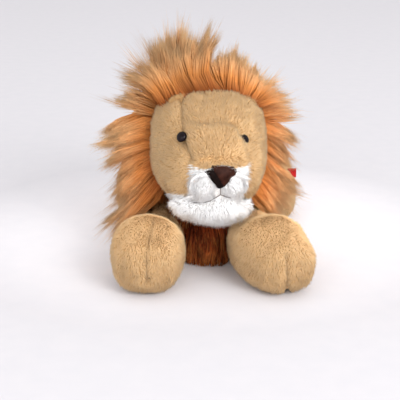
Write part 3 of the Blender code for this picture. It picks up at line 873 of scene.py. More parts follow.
    def shaped(self, roots: Socket) -> Socket:
        """Puts a tapered strand on each root, and bends it along its curve.

        Args:
            roots: what planted() returns.

        Returns:
            The strands, realised, with the map of their tone and length.
        """
        sizes = {"Vertices": 3, "Radius Top": 0.0, "Radius Bottom": 1.0, "Depth": 1.0}
        sizes["Side Segments"] = self.size("Segments")
        cone = self.add("GeometryNodeMeshCone", sizes, fill_type="NGON")
        place = self.add("GeometryNodeInputPosition").outputs[0]
        strand = self.stored(cone.outputs["Mesh"], "side", place)
        planted = self.add("GeometryNodeInstanceOnPoints", {"Points": roots, "Instance": strand})
        real = self.add("GeometryNodeRealizeInstances", {"Geometry": planted.outputs[0]}).outputs[0]
        right, up, height = self.add("ShaderNodeSeparateXYZ", {0: self.named("side")}).outputs
        along = self.number("MINIMUM", height, 1.0)
        root, bend, end = self.named("root"), self.named("bend"), self.named("end")
        curve = self.between(self.between(root, bend, along), self.between(bend, end, along), along)
        axis = self.vector("NORMALIZE", self.vector("SUBTRACT", end, root))
        across = self.vector("NORMALIZE", self.vector("CROSS_PRODUCT", axis, self.ASIDE))
        upright = self.vector("CROSS_PRODUCT", across, axis)
        fuller = self.number("ADD", 1.0, self.number("MULTIPLY", along, self.FULLNESS))
        radius = self.number("MULTIPLY", self.number("MULTIPLY", self.size("Width"), 0.5), fuller)
        offset = self.vector(
            "ADD", self.scaled(across, self.number("MULTIPLY", right, radius)),
            self.scaled(upright, self.number("MULTIPLY", up, radius)),
        )
        final = self.vector("MAXIMUM", self.vector("ADD", curve, offset), ROOM[0])
        final = self.vector("MINIMUM", final, ROOM[1])
        shaped = self.add("GeometryNodeSetPosition", {"Geometry": real, "Position": final}).outputs[0]
        chart = [
            self.number("ADD", self.linear(value, *scale), self.number("MULTIPLY", aside, self.MAP_WIDTH))
            for value, scale, aside in (
                (self.named("shade", "FLOAT"), self.MAP_TONE, right), (along, self.MAP_HEIGHT, up),
            )
        ]
        flat = self.add("ShaderNodeCombineXYZ", dict(enumerate(chart))).outputs[0]
        mapped = self.stored(shaped, "OFBake", flat, "FLOAT2", "CORNER")
        return self.add("GeometryNodeSetShadeSmooth", {"Geometry": mapped}).outputs[0]


@dataclass(frozen=True)
class Strands:
    """How a coat of hair or pile grows."""

    count: int
    width: float
    segments: int = 1
    guide_spacing: float = 0.004
    lock_spacing: float = 0.014
    clump: float = 0.5
    lock_clump: float = 0.3
    length_spread: float = 0.25
    stray: float = 0.18
    tone_spread: float = 0.35
    seed: int = 1


@dataclass
class Groom:
    """Where each strand goes, for every point of the surface that it grows on."""

    tip: Array
    lift: Array
    cover: Array
    tone: Array

    def put_on(self, mesh: Mesh) -> None:
        """Stores the groom on a mesh.

        Args:
            mesh: the surface.
        """
        set_field(mesh, "tip", self.tip)
        set_field(mesh, "lift", self.lift)
        set_field(mesh, "cover", np.clip(self.cover, 0, 1))
        set_field(mesh, "tone", np.clip(self.tone, 0, 1))


def covered_area(mesh: Mesh, cover: Array) -> float:
    """The mesh's area in square metres, counting each face by its cover."""
    return sum(p.area * float(np.mean(cover[list(p.vertices)])) for p in mesh.polygons)


@dataclass(frozen=True)
class Finish:
    """A material that is built from nodes, with the record's slot that it belongs to, if any."""

    name: str
    slot: str

    def material(self) -> bpy.types.Material:
        """The material, built the first time that it is asked for.

        Returns:
            The material.
        """
        found = bpy.data.materials.get(self.name)
        if found:
            return found
        made = bpy.data.materials.new(self.name)
        made.use_nodes = True
        self.dress(Nodes(made.node_tree), made.node_tree.nodes["Principled BSDF"])
        return made

    def dress(self, nodes: Nodes, shader: Node) -> None:
        """Adds the finish's own nodes.

        Args:
            nodes: the material's nodes.
            shader: its shader.
        """
        raise NotImplementedError

    @staticmethod
    def coat(nodes: Nodes, shader: Node, colour: Socket, roughness: float, specular: float = 0.5) -> None:
        """Sets the shader's colour and gloss.

        Args:
            nodes: the material's nodes.
            shader: its shader.
            colour: what colours it.
            roughness: how dull it is.
            specular: how much it reflects.
        """
        values = {"Base Color": colour, "Roughness": roughness, "Specular IOR Level": specular}
        for name, value in values.items():
            nodes.feed(shader.inputs[name], value)

    @staticmethod
    def press(nodes: Nodes, shader: Node, height: Socket, strength: float, depth: float) -> None:
        """Presses a height into the surface.

        Args:
            nodes: the material's nodes.
            shader: its shader.
            height: what is pressed in.
            strength: how clearly it shows.
            depth: how deep it is, in metres.
        """
        relief = nodes.add("ShaderNodeBump", {"Strength": strength, "Distance": depth, "Height": height})
        nodes.feed(shader.inputs["Normal"], relief.outputs[0])


@dataclass(frozen=True)
class HairFinish(Finish):
    """Strands that change colour from root to tip, and from one strand to the next."""

    root: str
    middle: str
    tip: str
    dark: float = 0.72
    light: float = 1.22
    middle_at: float = 0.45
    roughness: float = 0.62
    specular: float = 0.12

    def dress(self, nodes: Nodes, shader: Node) -> None:
        """Reads the strands' own map: tone across, root to tip upwards.

        Args:
            nodes: the material's nodes.
            shader: its shader.
        """
        chart = nodes.add("ShaderNodeUVMap", uv_map="OFBake")
        tone, height, _ = nodes.add("ShaderNodeSeparateXYZ", {0: chart.outputs[0]}).outputs
        dyes = ((0.0, shade(self.root)), (self.middle_at, shade(self.middle)), (1.0, shade(self.tip)))
        tones = nodes.ramp(tone, (0.0, grey(self.dark)), (1.0, grey(self.light)))
        colour = nodes.multiplied(nodes.ramp(height, *dyes), tones)
        self.coat(nodes, shader, colour, self.roughness, self.specular)


@dataclass(frozen=True)
class ClothFinish(Finish):
    """The knitted backing under the pile, with its fine rows and uneven dye."""

    colour: str
    deep: str
    row: float = 0.0011
    row_shade: float = 0.72
    row_relief: float = 0.5
    patch: float = 0.009
    roughness: float = 0.92
    specular: float = 0.1

    def dress(self, nodes: Nodes, shader: Node) -> None:
        """Mixes two dyes over the piece, and presses the rows into it.

        Args:
            nodes: the material's nodes.
            shader: its shader.
        """
        place = nodes.place()
        rows = nodes.cells(place, self.row)
        dye = nodes.cloud(place, 1 / self.patch, 3.0)
        tint = nodes.ramp(dye, (0.35, shade(self.deep)), (0.65, shade(self.colour)))
        knots = nodes.ramp(rows, (0.0, grey(1.0)), (0.9, grey(self.row_shade)))
        self.coat(nodes, shader, nodes.multiplied(tint, knots), self.roughness, self.specular)
        self.press(nodes, shader, rows, self.row_relief, self.row / 2)


@dataclass(frozen=True)
class SatinFinish(Finish):
    """Dark satin cloth of the nose, with a fine grain over two browns."""

    name: str = "nose_satin"
    slot: str = "nose_leather"
    colour: str = "381D15"
    deep: str = "200E09"
    patches: float = 160.0
    grain: float = 0.0009
    grain_depth: float = 0.0002
    grain_relief: float = 0.35
    roughness: float = 0.46
    specular: float = 0.05

    def dress(self, nodes: Nodes, shader: Node) -> None:
        """Lays the grain over the browns.

        Args:
            nodes: the material's nodes.
            shader: its shader.
        """
        place = nodes.place()
        patch = nodes.cloud(place, self.patches, 4.0)
        tint = nodes.ramp(patch, (0.3, shade(self.deep)), (0.7, shade(self.colour)))
        self.coat(nodes, shader, tint, self.roughness, self.specular)
        self.press(nodes, shader, nodes.cells(place, self.grain), self.grain_relief, self.grain_depth)


@dataclass(frozen=True)
class GlossFinish(Finish):
    """Polished plastic, clear over a deep colour."""

    colour: str
    edge: str
    cloudiness: float = 260.0
    roughness: float = 0.05
    specular: float = 0.14

    def dress(self, nodes: Nodes, shader: Node) -> None:
        """A faint cloudiness in the colour under the gloss.

        Args:
            nodes: the material's nodes.
            shader: its shader.
        """
        cloud = nodes.cloud(nodes.place(), self.cloudiness, 2.0)
        tint = nodes.ramp(cloud, (0.35, shade(self.colour)), (0.75, shade(self.edge)))
        self.coat(nodes, shader, tint, self.roughness, self.specular)


@dataclass(frozen=True)
class ThreadFinish(Finish):
    """Twisted thread, with its plies as slanting bands."""

    name: str = "mouth_thread_twist"
    slot: str = "mouth_cotton"
    colour: str = "6E6560"
    deep: str = "4A423E"
    ply: float = 0.0048
    ply_depth: float = 0.0002
    ply_relief: float = 0.6
    slant: Place = (0.0, 0.8, 0.6)
    roughness: float = 0.85

    def dress(self, nodes: Nodes, shader: Node) -> None:
        """Draws the plies.

        Args:
            nodes: the material's nodes.
            shader: its shader.
        """
        slanting = nodes.add("ShaderNodeMapping", {"Vector": nodes.place(), "Rotation": self.slant})
        waves = {"Vector": slanting.outputs[0], "Scale": 1 / self.ply, "Distortion": 1.0}
        plies = nodes.add("ShaderNodeTexWave", waves, bands_direction="X").outputs[0]
        tint = nodes.ramp(plies, (0.2, shade(self.deep)), (0.8, shade(self.colour)))
        self.coat(nodes, shader, tint, self.roughness)
        self.press(nodes, shader, plies, self.ply_relief, self.ply_depth)


@dataclass(frozen=True)
class PaperFinish(Finish):
    """The studio floor: pale paper, with painted light that makes it brighter round the object and a little
    darker away from it.
    """

    name: str = "floor_paper"
    slot: str = ""
    fibres: float = 40.0
    # The paper round the object, and far from it: the brighter middle is painted light, which lifts the
    # object's shadow.
    near: Colour = (0.95, 0.94, 0.955)
    far: Colour = (0.665, 0.66, 0.675)
    reach: float = 1 / 3
    roughness: float = 0.9

    def dress(self, nodes: Nodes, shader: Node) -> None:
        """Paints a pool of light on the paper round the object, fading outwards, and lays faint fibres over
        it.

        Args:
            nodes: the material's nodes.
            shader: its shader.
        """
        place = nodes.place()
        fibre = nodes.cloud(place, self.fibres, 4.0)
        tint = nodes.ramp(fibre, (0.3, (0.97, 0.965, 0.98)), (0.7, (1.0, 0.99, 1.0)))
        wide = nodes.add("ShaderNodeMapping", {"Vector": place, "Scale": (1 / self.reach,) * 3}).outputs[0]
        # Painted light: a pool of brighter paper round the object, fading outwards.
        light_pool = nodes.add("ShaderNodeTexGradient", {"Vector": wide}, gradient_type="SPHERICAL")
        pale = nodes.ramp(light_pool.outputs["Color"], (0.0, self.far), (0.6, self.near))
        self.coat(nodes, shader, nodes.multiplied(pale, tint), self.roughness)


TAN_PILE = HairFinish("tan_pile", "tan_plush", "D4AA73", "E6BF8B", "F0D2A8", dark=0.88, light=1.08)
TAN_BACKING = ClothFinish("tan_backing", "tan_plush", "E4BD88", "D2A672")
# The ears' pile is the head's tan plush, coloured darker as painted shade under the mane.
SHADED_EAR_PILE = HairFinish("ear_pile", "tan_plush", "BC8F5C", "CFA26C", "DCB684", dark=0.90, light=1.06)
WHITE_PILE = HairFinish("white_pile", "white_plush", "F8F5F2", "FDFCFB", "FFFFFF", dark=0.97, light=1.03)
WHITE_BACKING = ClothFinish("white_backing", "white_plush", "FAF7F4", "F0EBE6")
MANE_HAIR = HairFinish(
    "mane_hair", "rust_hair", "9C4A1A", "CF8644", "F4CC98", dark=0.68, middle_at=0.40, specular=0.25,
)
MANE_BACKING = ClothFinish("mane_backing", "rust_hair", "A65A26", "86431A")
# Deep rust hair, darkened further as painted shade under the chin and between the paws.
RUFF_HAIR = HairFinish(
    "ruff_hair", "rust_hair", "541B0A", "7E3615", "D68A48", dark=0.35, light=1.85, middle_at=0.6,
)
RUFF_BACKING = ClothFinish("ruff_backing", "rust_hair", "64240F", "481708")
EYE_GLOSS = GlossFinish("eye_black_gloss", "eye_gloss", "0B0709", "1C1216")
WASHER_PLASTIC = GlossFinish(
    "washer_white_plastic", "washer_plastic", "DCDAD4", "CFCBC2", roughness=0.4, specular=0.4,
)
LABEL_CLOTH = ClothFinish("label_red_cloth", "label_cloth", "C8202A", "9E141E", row=0.0004, patch=0.004)


def stands_for(piece: Object, body: str, nodes: Sequence[str]) -> None:
    """Lets a piece ride on a body in place of CAD nodes.

    Args:
        piece: what is shown.
        body: the body that it moves with.
        nodes: what it replaces.
    """
    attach(piece, body)
    if nodes:
        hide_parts(*nodes)


def add_piece(name: str, mesh: Mesh, finish: Finish, body: str, nodes: Sequence[str]) -> Object:
    """Puts a smooth, finished piece in the scene in place of CAD nodes.

    Args:
        name: the piece's name.
        mesh: its shape.
        finish: what covers it.
        body: the body that it moves with.
        nodes: what it replaces.

    Returns:
        The piece.
    """
    mesh.materials.clear()
    mesh.materials.append(finish.material())
    mesh.shade_smooth()
    piece = add_object(name, mesh)
    stands_for(piece, body, nodes)
    log.info("%s: %d faces", name, len(mesh.polygons))
    return piece


def add_padded(
    name: str, mesh: Mesh, finish: Finish, body: str, nodes: Sequence[str]
) -> None:
    """Adds a stuffed cover that stands for CAD nodes.

    Args:
        name: the piece's name.
        mesh: its shape.
        finish: what covers it.
        body: the body that it moves with.
        nodes: what it replaces.
    """
    add_piece(name, mesh, finish, body, nodes)


class Barber:
    """Grows every coat with one tree, and counts its triangles."""

    def __init__(self) -> None:
        """Builds the tree once."""
        self.strand_tree = StrandTree()
        self.triangles = 0

    def grow(
        self, name: str, scalp: Mesh, groom: Groom, strands: Strands, finish: Finish, body: str
    ) -> None:
        """Grows one coat, as a plain mesh that rides on a body.

        Args:
            name: the piece's name.
            scalp: the surface that it grows on.
            groom: where its strands go.
            strands: how they grow.
            finish: what colours them.
            body: the body that it moves with.
        """
        mesh = scalp.copy()
        groom.put_on(mesh)
        holder = add_object("scalp", mesh)
        step = holder.modifiers.new("strands", "NODES")
        step.node_group = self.strand_tree.tree
        share = 1.0
        values = {
            "Density": strands.count * share / covered_area(mesh, groom.cover),
            "Guide Density": strands.guide_spacing**-2,
            "Lock Density": strands.lock_spacing**-2,
            "Width": strands.width / share**0.5,
            "Clump": strands.clump,
            "Lock Clump": strands.lock_clump,
            "Length Spread": strands.length_spread,
            "Stray": strands.stray,
            "Tone Spread": strands.tone_spread,
            "Segments": strands.segments,
            "Seed": strands.seed,
            "Material": finish.material(),
        }
        for key, value in values.items():
            step[self.strand_tree.identifiers[key]] = value
        coat = baked_mesh(holder, name)
        bpy.data.meshes.remove(mesh)
        for left in self.strand_tree.STORED:
            if left in coat.attributes:
                coat.attributes.remove(coat.attributes[left])
        triangles = sum(len(p.vertices) - 2 for p in coat.polygons)
        self.triangles += triangles
        log.info("%s: %d triangles", name, triangles)
        stands_for(add_object(name, coat), body, [])

    def sew(
        self, node: str, mesh: Mesh, groom: Groom, strands: Strands, hair: Finish, backing: Finish, body: str
    ) -> None:
        """Puts a woven backing in place of a CAD node, and grows its long hair.

        Args:
            node: the CAD node.
            mesh: the backing.
            groom: where its strands go.
            strands: how they grow.
            hair: what colours them.
            backing: what covers the backing.
            body: the body that both move with.
        """
        add_piece(f"{node}_backing", mesh, backing, body, [node])
        self.grow(f"{node}_hair", mesh, groom, strands, hair, body)


def pile_groom(
    mesh: Mesh, flow: Array, length: Array | float, seed: int,
    lean: Array | float = 1.25, swirl: float = 0.38,
) -> Groom:
    """Short pile that lies along a flow, with swirls and patches in it.

    Args:
        mesh: the surface.
        flow: the direction that the pile lies in, one for all or one for each point.
        length: how long it is.
        seed: picks the ruffle.
        lean: how far it lies over, as a slope.
        swirl: how much it is ruffled.

    Returns:
        The groom.
    """
    points, normals = points_of(mesh), normals_of(mesh)
    size = np.broadcast_to(np.asarray(length, float), (len(points),))[:, None]
    along = unit(flow - normals * np.sum(flow * normals, axis=1, keepdims=True))
    ruffle = sum(wander(points, wide, seed + index) * much for index, (wide, much) in enumerate(RUFFLES))
    ruffle -= normals * np.sum(ruffle * normals, axis=1, keepdims=True)
    tip = unit(normals + along * lean + ruffle * swirl * 2) * size
    patch = sum(wander(points, wide, seed + 2 + axis)[:, axis] * 0.5 for axis, wide in enumerate(PATCHES))
    return Groom(tip, normals * size * PILE_ARCH, np.ones(len(points)), PILE_TONE + patch * PATCH_DEPTH)


def hanging_groom(mesh: Mesh, flow: Array, length: Array, lift: float, tone: Array) -> Groom:
    """Long hair that falls along a flow.

    Args:
        mesh: the surface.
        flow: the way that it falls, for each point.
        length: how long it is there.
        lift: how far it arches out, as a share of its length.
        tone: how light it is there.

    Returns:
        The groom.
    """
    return Groom(unit(flow) * length, normals_of(mesh) * length * lift, np.ones(len(tone)), tone)


def facing_front(normals: Array, gain: float, start: float = 0.0) -> Array:
    """One where a surface faces forwards, nought where it faces back."""
    return np.clip(start - normals[:, 1] * gain, 0, 1)


def facing_share(mesh: Mesh, least: float, side: float = 0.55, front: float = 0.8, top: float = 0.5) -> Array:
    """How thickly pile is planted: fully where it faces the front and top, less where it faces away.

    Args:
        mesh: the surface.
        least: its share where it faces the back and the floor.
        side: its share where it faces a side.
        front: how much more there is towards the front.
        top: how much more there is towards the top.

    Returns:
        The share at each point.
    """
    normals = normals_of(mesh)
    return np.clip(side - normals[:, 1] * front + normals[:, 2] * top, least, 1)


@dataclass
class Torso:
    """The body's cover and pile, and the hair that is sewn to it."""

    voxel: float = 0.004
    inset: float = 0.0030
    pile_length: float = 0.0060
    pile_flow: Place = (0.0, 1.0, -0.25)
    pile_from: float = -0.075
    bare_share: float = 0.15
    neck_length: float = 0.030
    neck_front: float = -0.050
    neck_foot: float = 0.010
    neck_flow: Place = (0.0, -0.15, -1.0)
    collar_inset: float = 0.008
    collar_length: float = 0.040
    collar_middle: Place = (0.0, -0.092, 0.0)
    collar_flow: Place = (0.0, 0.1, -0.9)
    collar_top: float = 0.075
    collar_lift: float = 0.35
    # Painted shade: how much darker the collar's hair is towards its foot.
    collar_foot_darker: float = 0.3
    ruff_inset: float = 0.004
    ruff_length: float = 0.026
    ruff_flow: Place = (0.0, -0.18, -1.0)
    ruff_lift: float = 0.3
    neck_count: int = 2600
    pile: Strands = field(default_factory=lambda: Strands(
        count=25500, width=0.00106, clump=0.2, lock_clump=0.1, seed=11,
    ))
    collar_hair: Strands = field(default_factory=lambda: Strands(
        count=3500, width=0.00105, segments=3, guide_spacing=0.005, lock_spacing=0.016,
        clump=0.72, lock_clump=0.5, length_spread=0.25, stray=0.12, seed=21,
    ))
    ruff_hair: Strands = field(default_factory=lambda: Strands(
        count=3800, width=0.0011, segments=3, guide_spacing=0.004, lock_spacing=0.012,
        clump=0.75, lock_clump=0.3, length_spread=0.3, stray=0.2, tone_spread=1.0, seed=31,
    ))

    def build(self, barber: Barber) -> None:
        """Builds the body, its collar and its ruff.

        Args:
            barber: grows the hair.
        """
        nodes = ["body_skin", "body_filling"]
        mesh = soft_cover(nodes, self.voxel, passes=12, inset=self.inset)
        legs = [f"{leg}_{side.word}_skin" for leg in ("foreleg", "hind_leg") for side in Side]
        close_up(mesh, legs, self.inset)
        groom = pile_groom(mesh, np.array(self.pile_flow), self.pile_length, seed=41)
        groom.cover = np.where(points_of(mesh)[:, 1] > self.pile_from, 1.0, self.bare_share)
        add_padded("body_cover", mesh, TAN_BACKING, "torso", nodes)
        barber.grow("body_pile", mesh, groom, self.pile, TAN_PILE, "torso")
        self.build_neck(barber, mesh)
        self.build_collar(barber)
        self.build_ruff(barber)

    def build_neck(self, barber: Barber, mesh: Mesh) -> None:
        """Grows the hair that hangs from the neck over the shoulders' front.

        Args:
            barber: grows the hair.
            mesh: the body's cover.
        """
        points = points_of(mesh)
        flow = np.array(self.neck_flow) + normals_of(mesh) * 0.3 + wander(points, size=0.02, seed=15) * 0.3
        length = uneven(points, self.neck_length, spread=0.008, size=0.02, seed=14)
        tone = uneven(points, 0.5, spread=0.6, size=0.012, seed=16)[:, 0]
        groom = hanging_groom(mesh, flow, length, self.ruff_lift, tone)
        front = falling(points[:, 1], self.neck_front, span=0.01)
        groom.cover = front * rising(points[:, 2], self.neck_foot, span=0.01)
        strands = replace(self.ruff_hair, seed=35, count=self.neck_count)
        # Dark ruff hair, partly painted shade in the hollow under the chin.
        barber.grow("neck_hair", mesh, groom, strands, RUFF_HAIR, "torso")

    def build_collar(self, barber: Barber) -> None:
        """Builds the hair over the shoulders, which lies back and down.

        Args:
            barber: grows the hair.
        """
        mesh = soft_cover(["mane_collar"], 0.003, passes=8, inset=self.collar_inset)
        points = points_of(mesh)
        out = points - np.array(self.collar_middle)
        out[:, 2] = 0
        flow = unit(out) * 0.35 + np.array(self.collar_flow) + wander(points, size=0.03, seed=9) * 0.3
        length = uneven(points, self.collar_length, spread=0.010, size=0.03, seed=5)
        tone = uneven(points, 0.55, spread=0.5, size=0.02, seed=6)[:, 0]
        # Painted shade towards the collar's foot, low by the paws.
        tone = tone - self.collar_foot_darker * falling(points[:, 2], self.collar_top, span=0.05)
        groom = hanging_groom(mesh, flow + normals_of(mesh) * 0.2, length, self.collar_lift, tone)
        barber.sew("mane_collar", mesh, groom, self.collar_hair, MANE_HAIR, MANE_BACKING, "torso")

    def build_ruff(self, barber: Barber) -> None:
        """Builds the dark hair on the chest, which hangs to the floor; its dark is partly the hair's own deep
        rust and partly painted shade.

        Args:
            barber: grows the hair.
        """
        mesh = soft_cover(["mane_chest"], 0.003, passes=8, inset=self.ruff_inset)
        points = points_of(mesh)
        flow = np.array(self.ruff_flow) + normals_of(mesh) * 0.25 + wander(points, size=0.02, seed=10) * 0.3
        length = uneven(points, self.ruff_length, spread=0.006, size=0.02, seed=7)
        tone = uneven(points, 0.5, spread=0.6, size=0.012, seed=8)[:, 0]
        groom = hanging_groom(mesh, flow, length, self.ruff_lift, tone)
        barber.sew("mane_chest", mesh, groom, self.ruff_hair, RUFF_HAIR, RUFF_BACKING, "torso")


@dataclass
class Limb:
    """A stuffed leg with its pile and the seam down its foot."""

    name: str
    flow: Place
    seam: Line = ()
    voxel: float = 0.003
    inset: float = 0.0029
    pile_length: float = 0.0058
    front_flow: Place = (0.0, -0.1, -1.0)
    parting: Place = (0.10, 0.0, 0.0)
    parting_width: float = 0.02
    lean: float = 1.25
    top_lean: float = 0.9
    ruffle_seed: int = 50
    seam_width: float = 0.0030
    seam_depth: float = 0.0044
    seam_shortens: float = 0.45
    # Painted shade in the seam's groove: how much darker the pile's tone is there.
    seam_darkens: float = 0.8
    pile: Strands = field(default_factory=lambda: Strands(
        count=38500, width=0.00098, clump=0.2, lock_clump=0.1, seed=12,
    ))

    def build(self, barber: Barber) -> None:
        """Builds the leg's cover and pile.

        Args:
            barber: grows the pile.
        """
        nodes = [f"{self.name}_skin", f"{self.name}_filling"]
        mesh = soft_cover(nodes, self.voxel, passes=12, inset=self.inset)
        close_up(mesh, ["body_skin"], self.inset)
        normals = normals_of(mesh)
        points = lifted_clear(mesh)
        groove, centre = np.zeros(len(points)), points[:, 0].mean()
        if self.seam:
            near = line_distance(points[:, (0, 2)], self.seam)
            groove = bump(near, self.seam_width) * facing_front(normals, gain=4, start=0.4)
            centre = np.mean([across for across, _ in self.seam])
            swollen(mesh, -groove * self.seam_depth)
        top = np.clip(normals[:, 2], 0, 1)[:, None]
        apart = np.clip((points[:, 0] - centre) / self.parting_width, -1, 1)[:, None] * np.array(self.parting)
        flow = np.array(self.front_flow) * (1 - top) + np.array(self.flow) * top + apart
        length = self.pile_length * (1 - self.seam_shortens * groove)
        seed = self.ruffle_seed + len(self.name)
        groom = pile_groom(mesh, flow, length, seed, lean=self.lean + self.top_lean * top)
        # Painted shade along the seam's groove.
        groom.tone -= groove * self.seam_darkens
        groom.cover = facing_share(mesh, least=0.35)
        add_padded(f"{self.name}_cover", mesh, TAN_BACKING, self.name, nodes)
        barber.grow(f"{self.name}_pile", mesh, groom, self.pile, TAN_PILE, self.name)


@dataclass
class Tail:
    """The tail's cover and pile, and the long hair at its end."""

    voxel: float = 0.0025
    inset: float = 0.0030
    pile_length: float = 0.0062
    pile_flow: Place = (0.2, 1.0, -0.1)
    tuft_inset: float = 0.006
    tuft_flow: Place = (0.35, 1.0, -0.15)
    tuft_shortest: float = 0.012
    tuft_growth: float = 0.024
    tuft_lift: float = 0.4
    pile: Strands = field(default_factory=lambda: Strands(
        count=8000, width=0.0010, clump=0.3, lock_clump=0.1, seed=13,
    ))
    tuft: Strands = field(default_factory=lambda: Strands(
        count=2400, width=0.0011, segments=3, guide_spacing=0.006, lock_spacing=0.02,
        clump=0.7, lock_clump=0.6, seed=14,
    ))

    def build(self, barber: Barber) -> None:
        """Builds the tail and its tuft.

        Args:
            barber: grows the pile and the hair.
        """
        nodes = ["tail_skin", "tail_filling"]
        mesh = soft_cover(nodes, self.voxel, passes=8, inset=self.inset)
        groom = pile_groom(mesh, np.array(self.pile_flow), self.pile_length, seed=61)
        add_padded("tail_cover", mesh, TAN_BACKING, "tail", nodes)
        barber.grow("tail_pile", mesh, groom, self.pile, TAN_PILE, "tail")
        mesh = soft_cover(["tail_tuft"], self.voxel, passes=8, inset=self.tuft_inset)
        points = points_of(mesh)
        front, back = points[:, 1].min(), points[:, 1].max()
        length = self.tuft_shortest + self.tuft_growth * falling(points[:, 1:2], back, back - front)
        flow = np.array(self.tuft_flow) + normals_of(mesh) * 0.4
        tone = uneven(points, 0.5, spread=0.5, size=0.01, seed=9)[:, 0]
        groom = hanging_groom(mesh, flow, length, self.tuft_lift, tone)
        barber.sew("tail_tuft", mesh, groom, self.tuft, MANE_HAIR, MANE_BACKING, "tail")


@dataclass
class Head:
    """The face: its cover and pile, muzzle, chin, nose, eyes, mouth and ears, in the head's own axes."""

    voxel: float = 0.0025
    inset: float = 0.0028
    pile_length: float = 0.0056
    nose_place: Place = (0.0, -0.085, -0.010)
    nose_top: Line = ((-0.017, 0.0015), (0.017, 0.0015))
    fringe_width: float = 0.0045
    fringe_way: Place = (0.0, -0.5, -1.0)
    fringe_weight: float = 1.5
    face_front: float = -0.05
    hair_line_back: float = -0.031
    hair_line_height: float = 0.050
    seams: tuple[Line, ...] = (
        ((-0.034, 0.066), (-0.037, 0.046), (-0.038, 0.032)),
        ((-0.036, 0.018), (-0.0324, 0.0127), (-0.0288, 0.0033)),
        ((0.016, 0.037), (0.022, 0.028)),
    )
    seam_width: float = 0.0034
    seam_depth: float = 0.0046
    seam_shortens: float = 0.45
    # Painted shade: how much darker the pile's tone is in the seams' grooves and in the eyes' hollows.
    seam_darkens: float = 0.7
    eye_shortens: float = 0.55
    eye_darkens: float = 0.35
    eye_hollow: float = 0.0036
    eye_hollow_width: float = 0.0095
    cheeks: tuple[tuple[Flat, float], ...] = (
        ((-0.045, -0.008), 0.016), ((0.044, -0.006), 0.014),
        ((-0.050, 0.042), 0.012), ((0.020, 0.052), 0.014),
    )
    cheek_rise: float = 0.0026
    bridge: Line = ((-0.007, 0.034), (-0.002, 0.010), (0.0, -0.004))
    bridge_rise: float = 0.0036
    bridge_half_width: float = 0.030
    bridge_top: float = 0.0365
    corner_fill: float = 0.075
    corner_depth: float = 0.03
    white_edge: float = 0.001
    muzzle_half_width: float = 0.0285
    muzzle_top: float = -0.0034
    chin_half_width: float = 0.056
    chin_line: float = -0.0597
    chin_line_slope: Flat = (0.292, 0.956)
    chin_droop: float = 0.0052
    chin_droop_from: float = -0.015
    white_growth: float = 1.5
    white_tone: float = 0.7
    mouth: tuple[Line, ...] = (
        ((0.0010, -0.0255), (0.0020, -0.0350), (-0.0065, -0.0435), (-0.0160, -0.0462), (-0.0250, -0.0466)),
        ((0.0020, -0.0350), (0.0090, -0.0385), (0.0145, -0.0405)),
    )
    crease_fill: float = 0.0060
    crease_width: float = 0.0030
    crease_depth: float = 0.0016
    crease_shortens: float = 0.8
    # Painted shade: how much darker the white pile is in the mouth's crease.
    crease_darkens: float = 0.3
    muzzle_inset: float = 0.0030
    muzzle_count: int = 32000
    muzzle_pile_length: float = 0.0074
    chin_pile_growth: float = 0.0018
    chin_top: float = -0.048
    chin_shift: Place = (-0.008, 0.005, 0.003)
    jowl_reach: float = 0.04
    jowl_most: float = 1.2
    jowl_top: float = -0.036
    thread_radius: float = 0.00045
    thread_rise: float = 0.0026
    thread_start: float = -0.13
    thread_steps: int = 6
    nostril: Flat = (0.0125, -0.0150)
    nostril_width: float = 0.0035
    nostril_depth: float = 0.0016
    nose_stretch: float = 1.05
    nose_drop: float = 0.0016
    facet_line: float = -0.0100
    facet_slope: float = 0.62
    facet_depth: float = 0.0014
    ear_inset: float = 0.0034
    ear_pile_length: float = 0.0055
    ear_darker: float = 0.5
    ear_depth_share: float = 0.8
    ear_forward: float = 0.002
    ear_inward: float = 0.0015
    ear_foot: float = 0.052
    ear_height_share: float = 0.68
    left_eye_shift: Place = (-0.0042, 0.0026, -0.0026)
    right_eye_shift: Place = (-0.0012, 0.0, 0.0)
    eye_rim_depth: float = 0.0040
    eye_sink: float = 0.0008
    eye_shank: Line = (
        (0.0, -0.0120), (0.0018, -0.0118), (0.0020, -0.0010), (0.0048, -0.0010), (0.0058, -0.0004),
    )
    dome_radius: float = 0.0060
    dome_foot: float = 0.0003
    dome_height: float = 0.0042
    dome_steps: int = 14
    dome_turns: int = 40
    pile: Strands = field(default_factory=lambda: Strands(
        count=43000, width=0.00088, clump=0.3, lock_clump=0.1, seed=15,
    ))
    white_pile: Strands = field(default_factory=lambda: Strands(
        count=9000, width=0.00095, guide_spacing=0.003, clump=0.25, lock_clump=0.1, seed=16,
    ))
    ear_pile: Strands = field(default_factory=lambda: Strands(count=3500, width=0.0009, seed=17))

    def build(self, barber: Barber) -> Mesh:
        """Builds the whole face.

        Args:
            barber: grows the pile.

        Returns:
            The mesh of the head's cover.
        """
        nodes = ["head_skin", "head_filling"]
        mesh = soft_cover(nodes, self.voxel, passes=10, inset=self.inset)
        groove, sockets = self.shape_face(mesh)
        local = head_points(mesh)
        nose_edge = bump(line_distance(local[:, (0, 2)], self.nose_top), self.fringe_width)[:, None]
        fringe = nose_edge * (local[:, 1:2] < self.face_front)
        flow = unit(local - np.array(self.nose_place)) * (1 - fringe)
        flow = flow + np.array(self.fringe_way) * fringe * self.fringe_weight
        white = self.white_share(local)
        hair_line = rising(local[:, 1], self.hair_line_back, span=0.004)
        hair_line = hair_line * rising(local[:, 2], self.hair_line_height, span=0.006)
        length = self.pile_length * (1 - self.seam_shortens * groove) * (1 - self.eye_shortens * sockets)
        groom = pile_groom(mesh, turned(flow, HEAD_PLACE), length, seed=71)
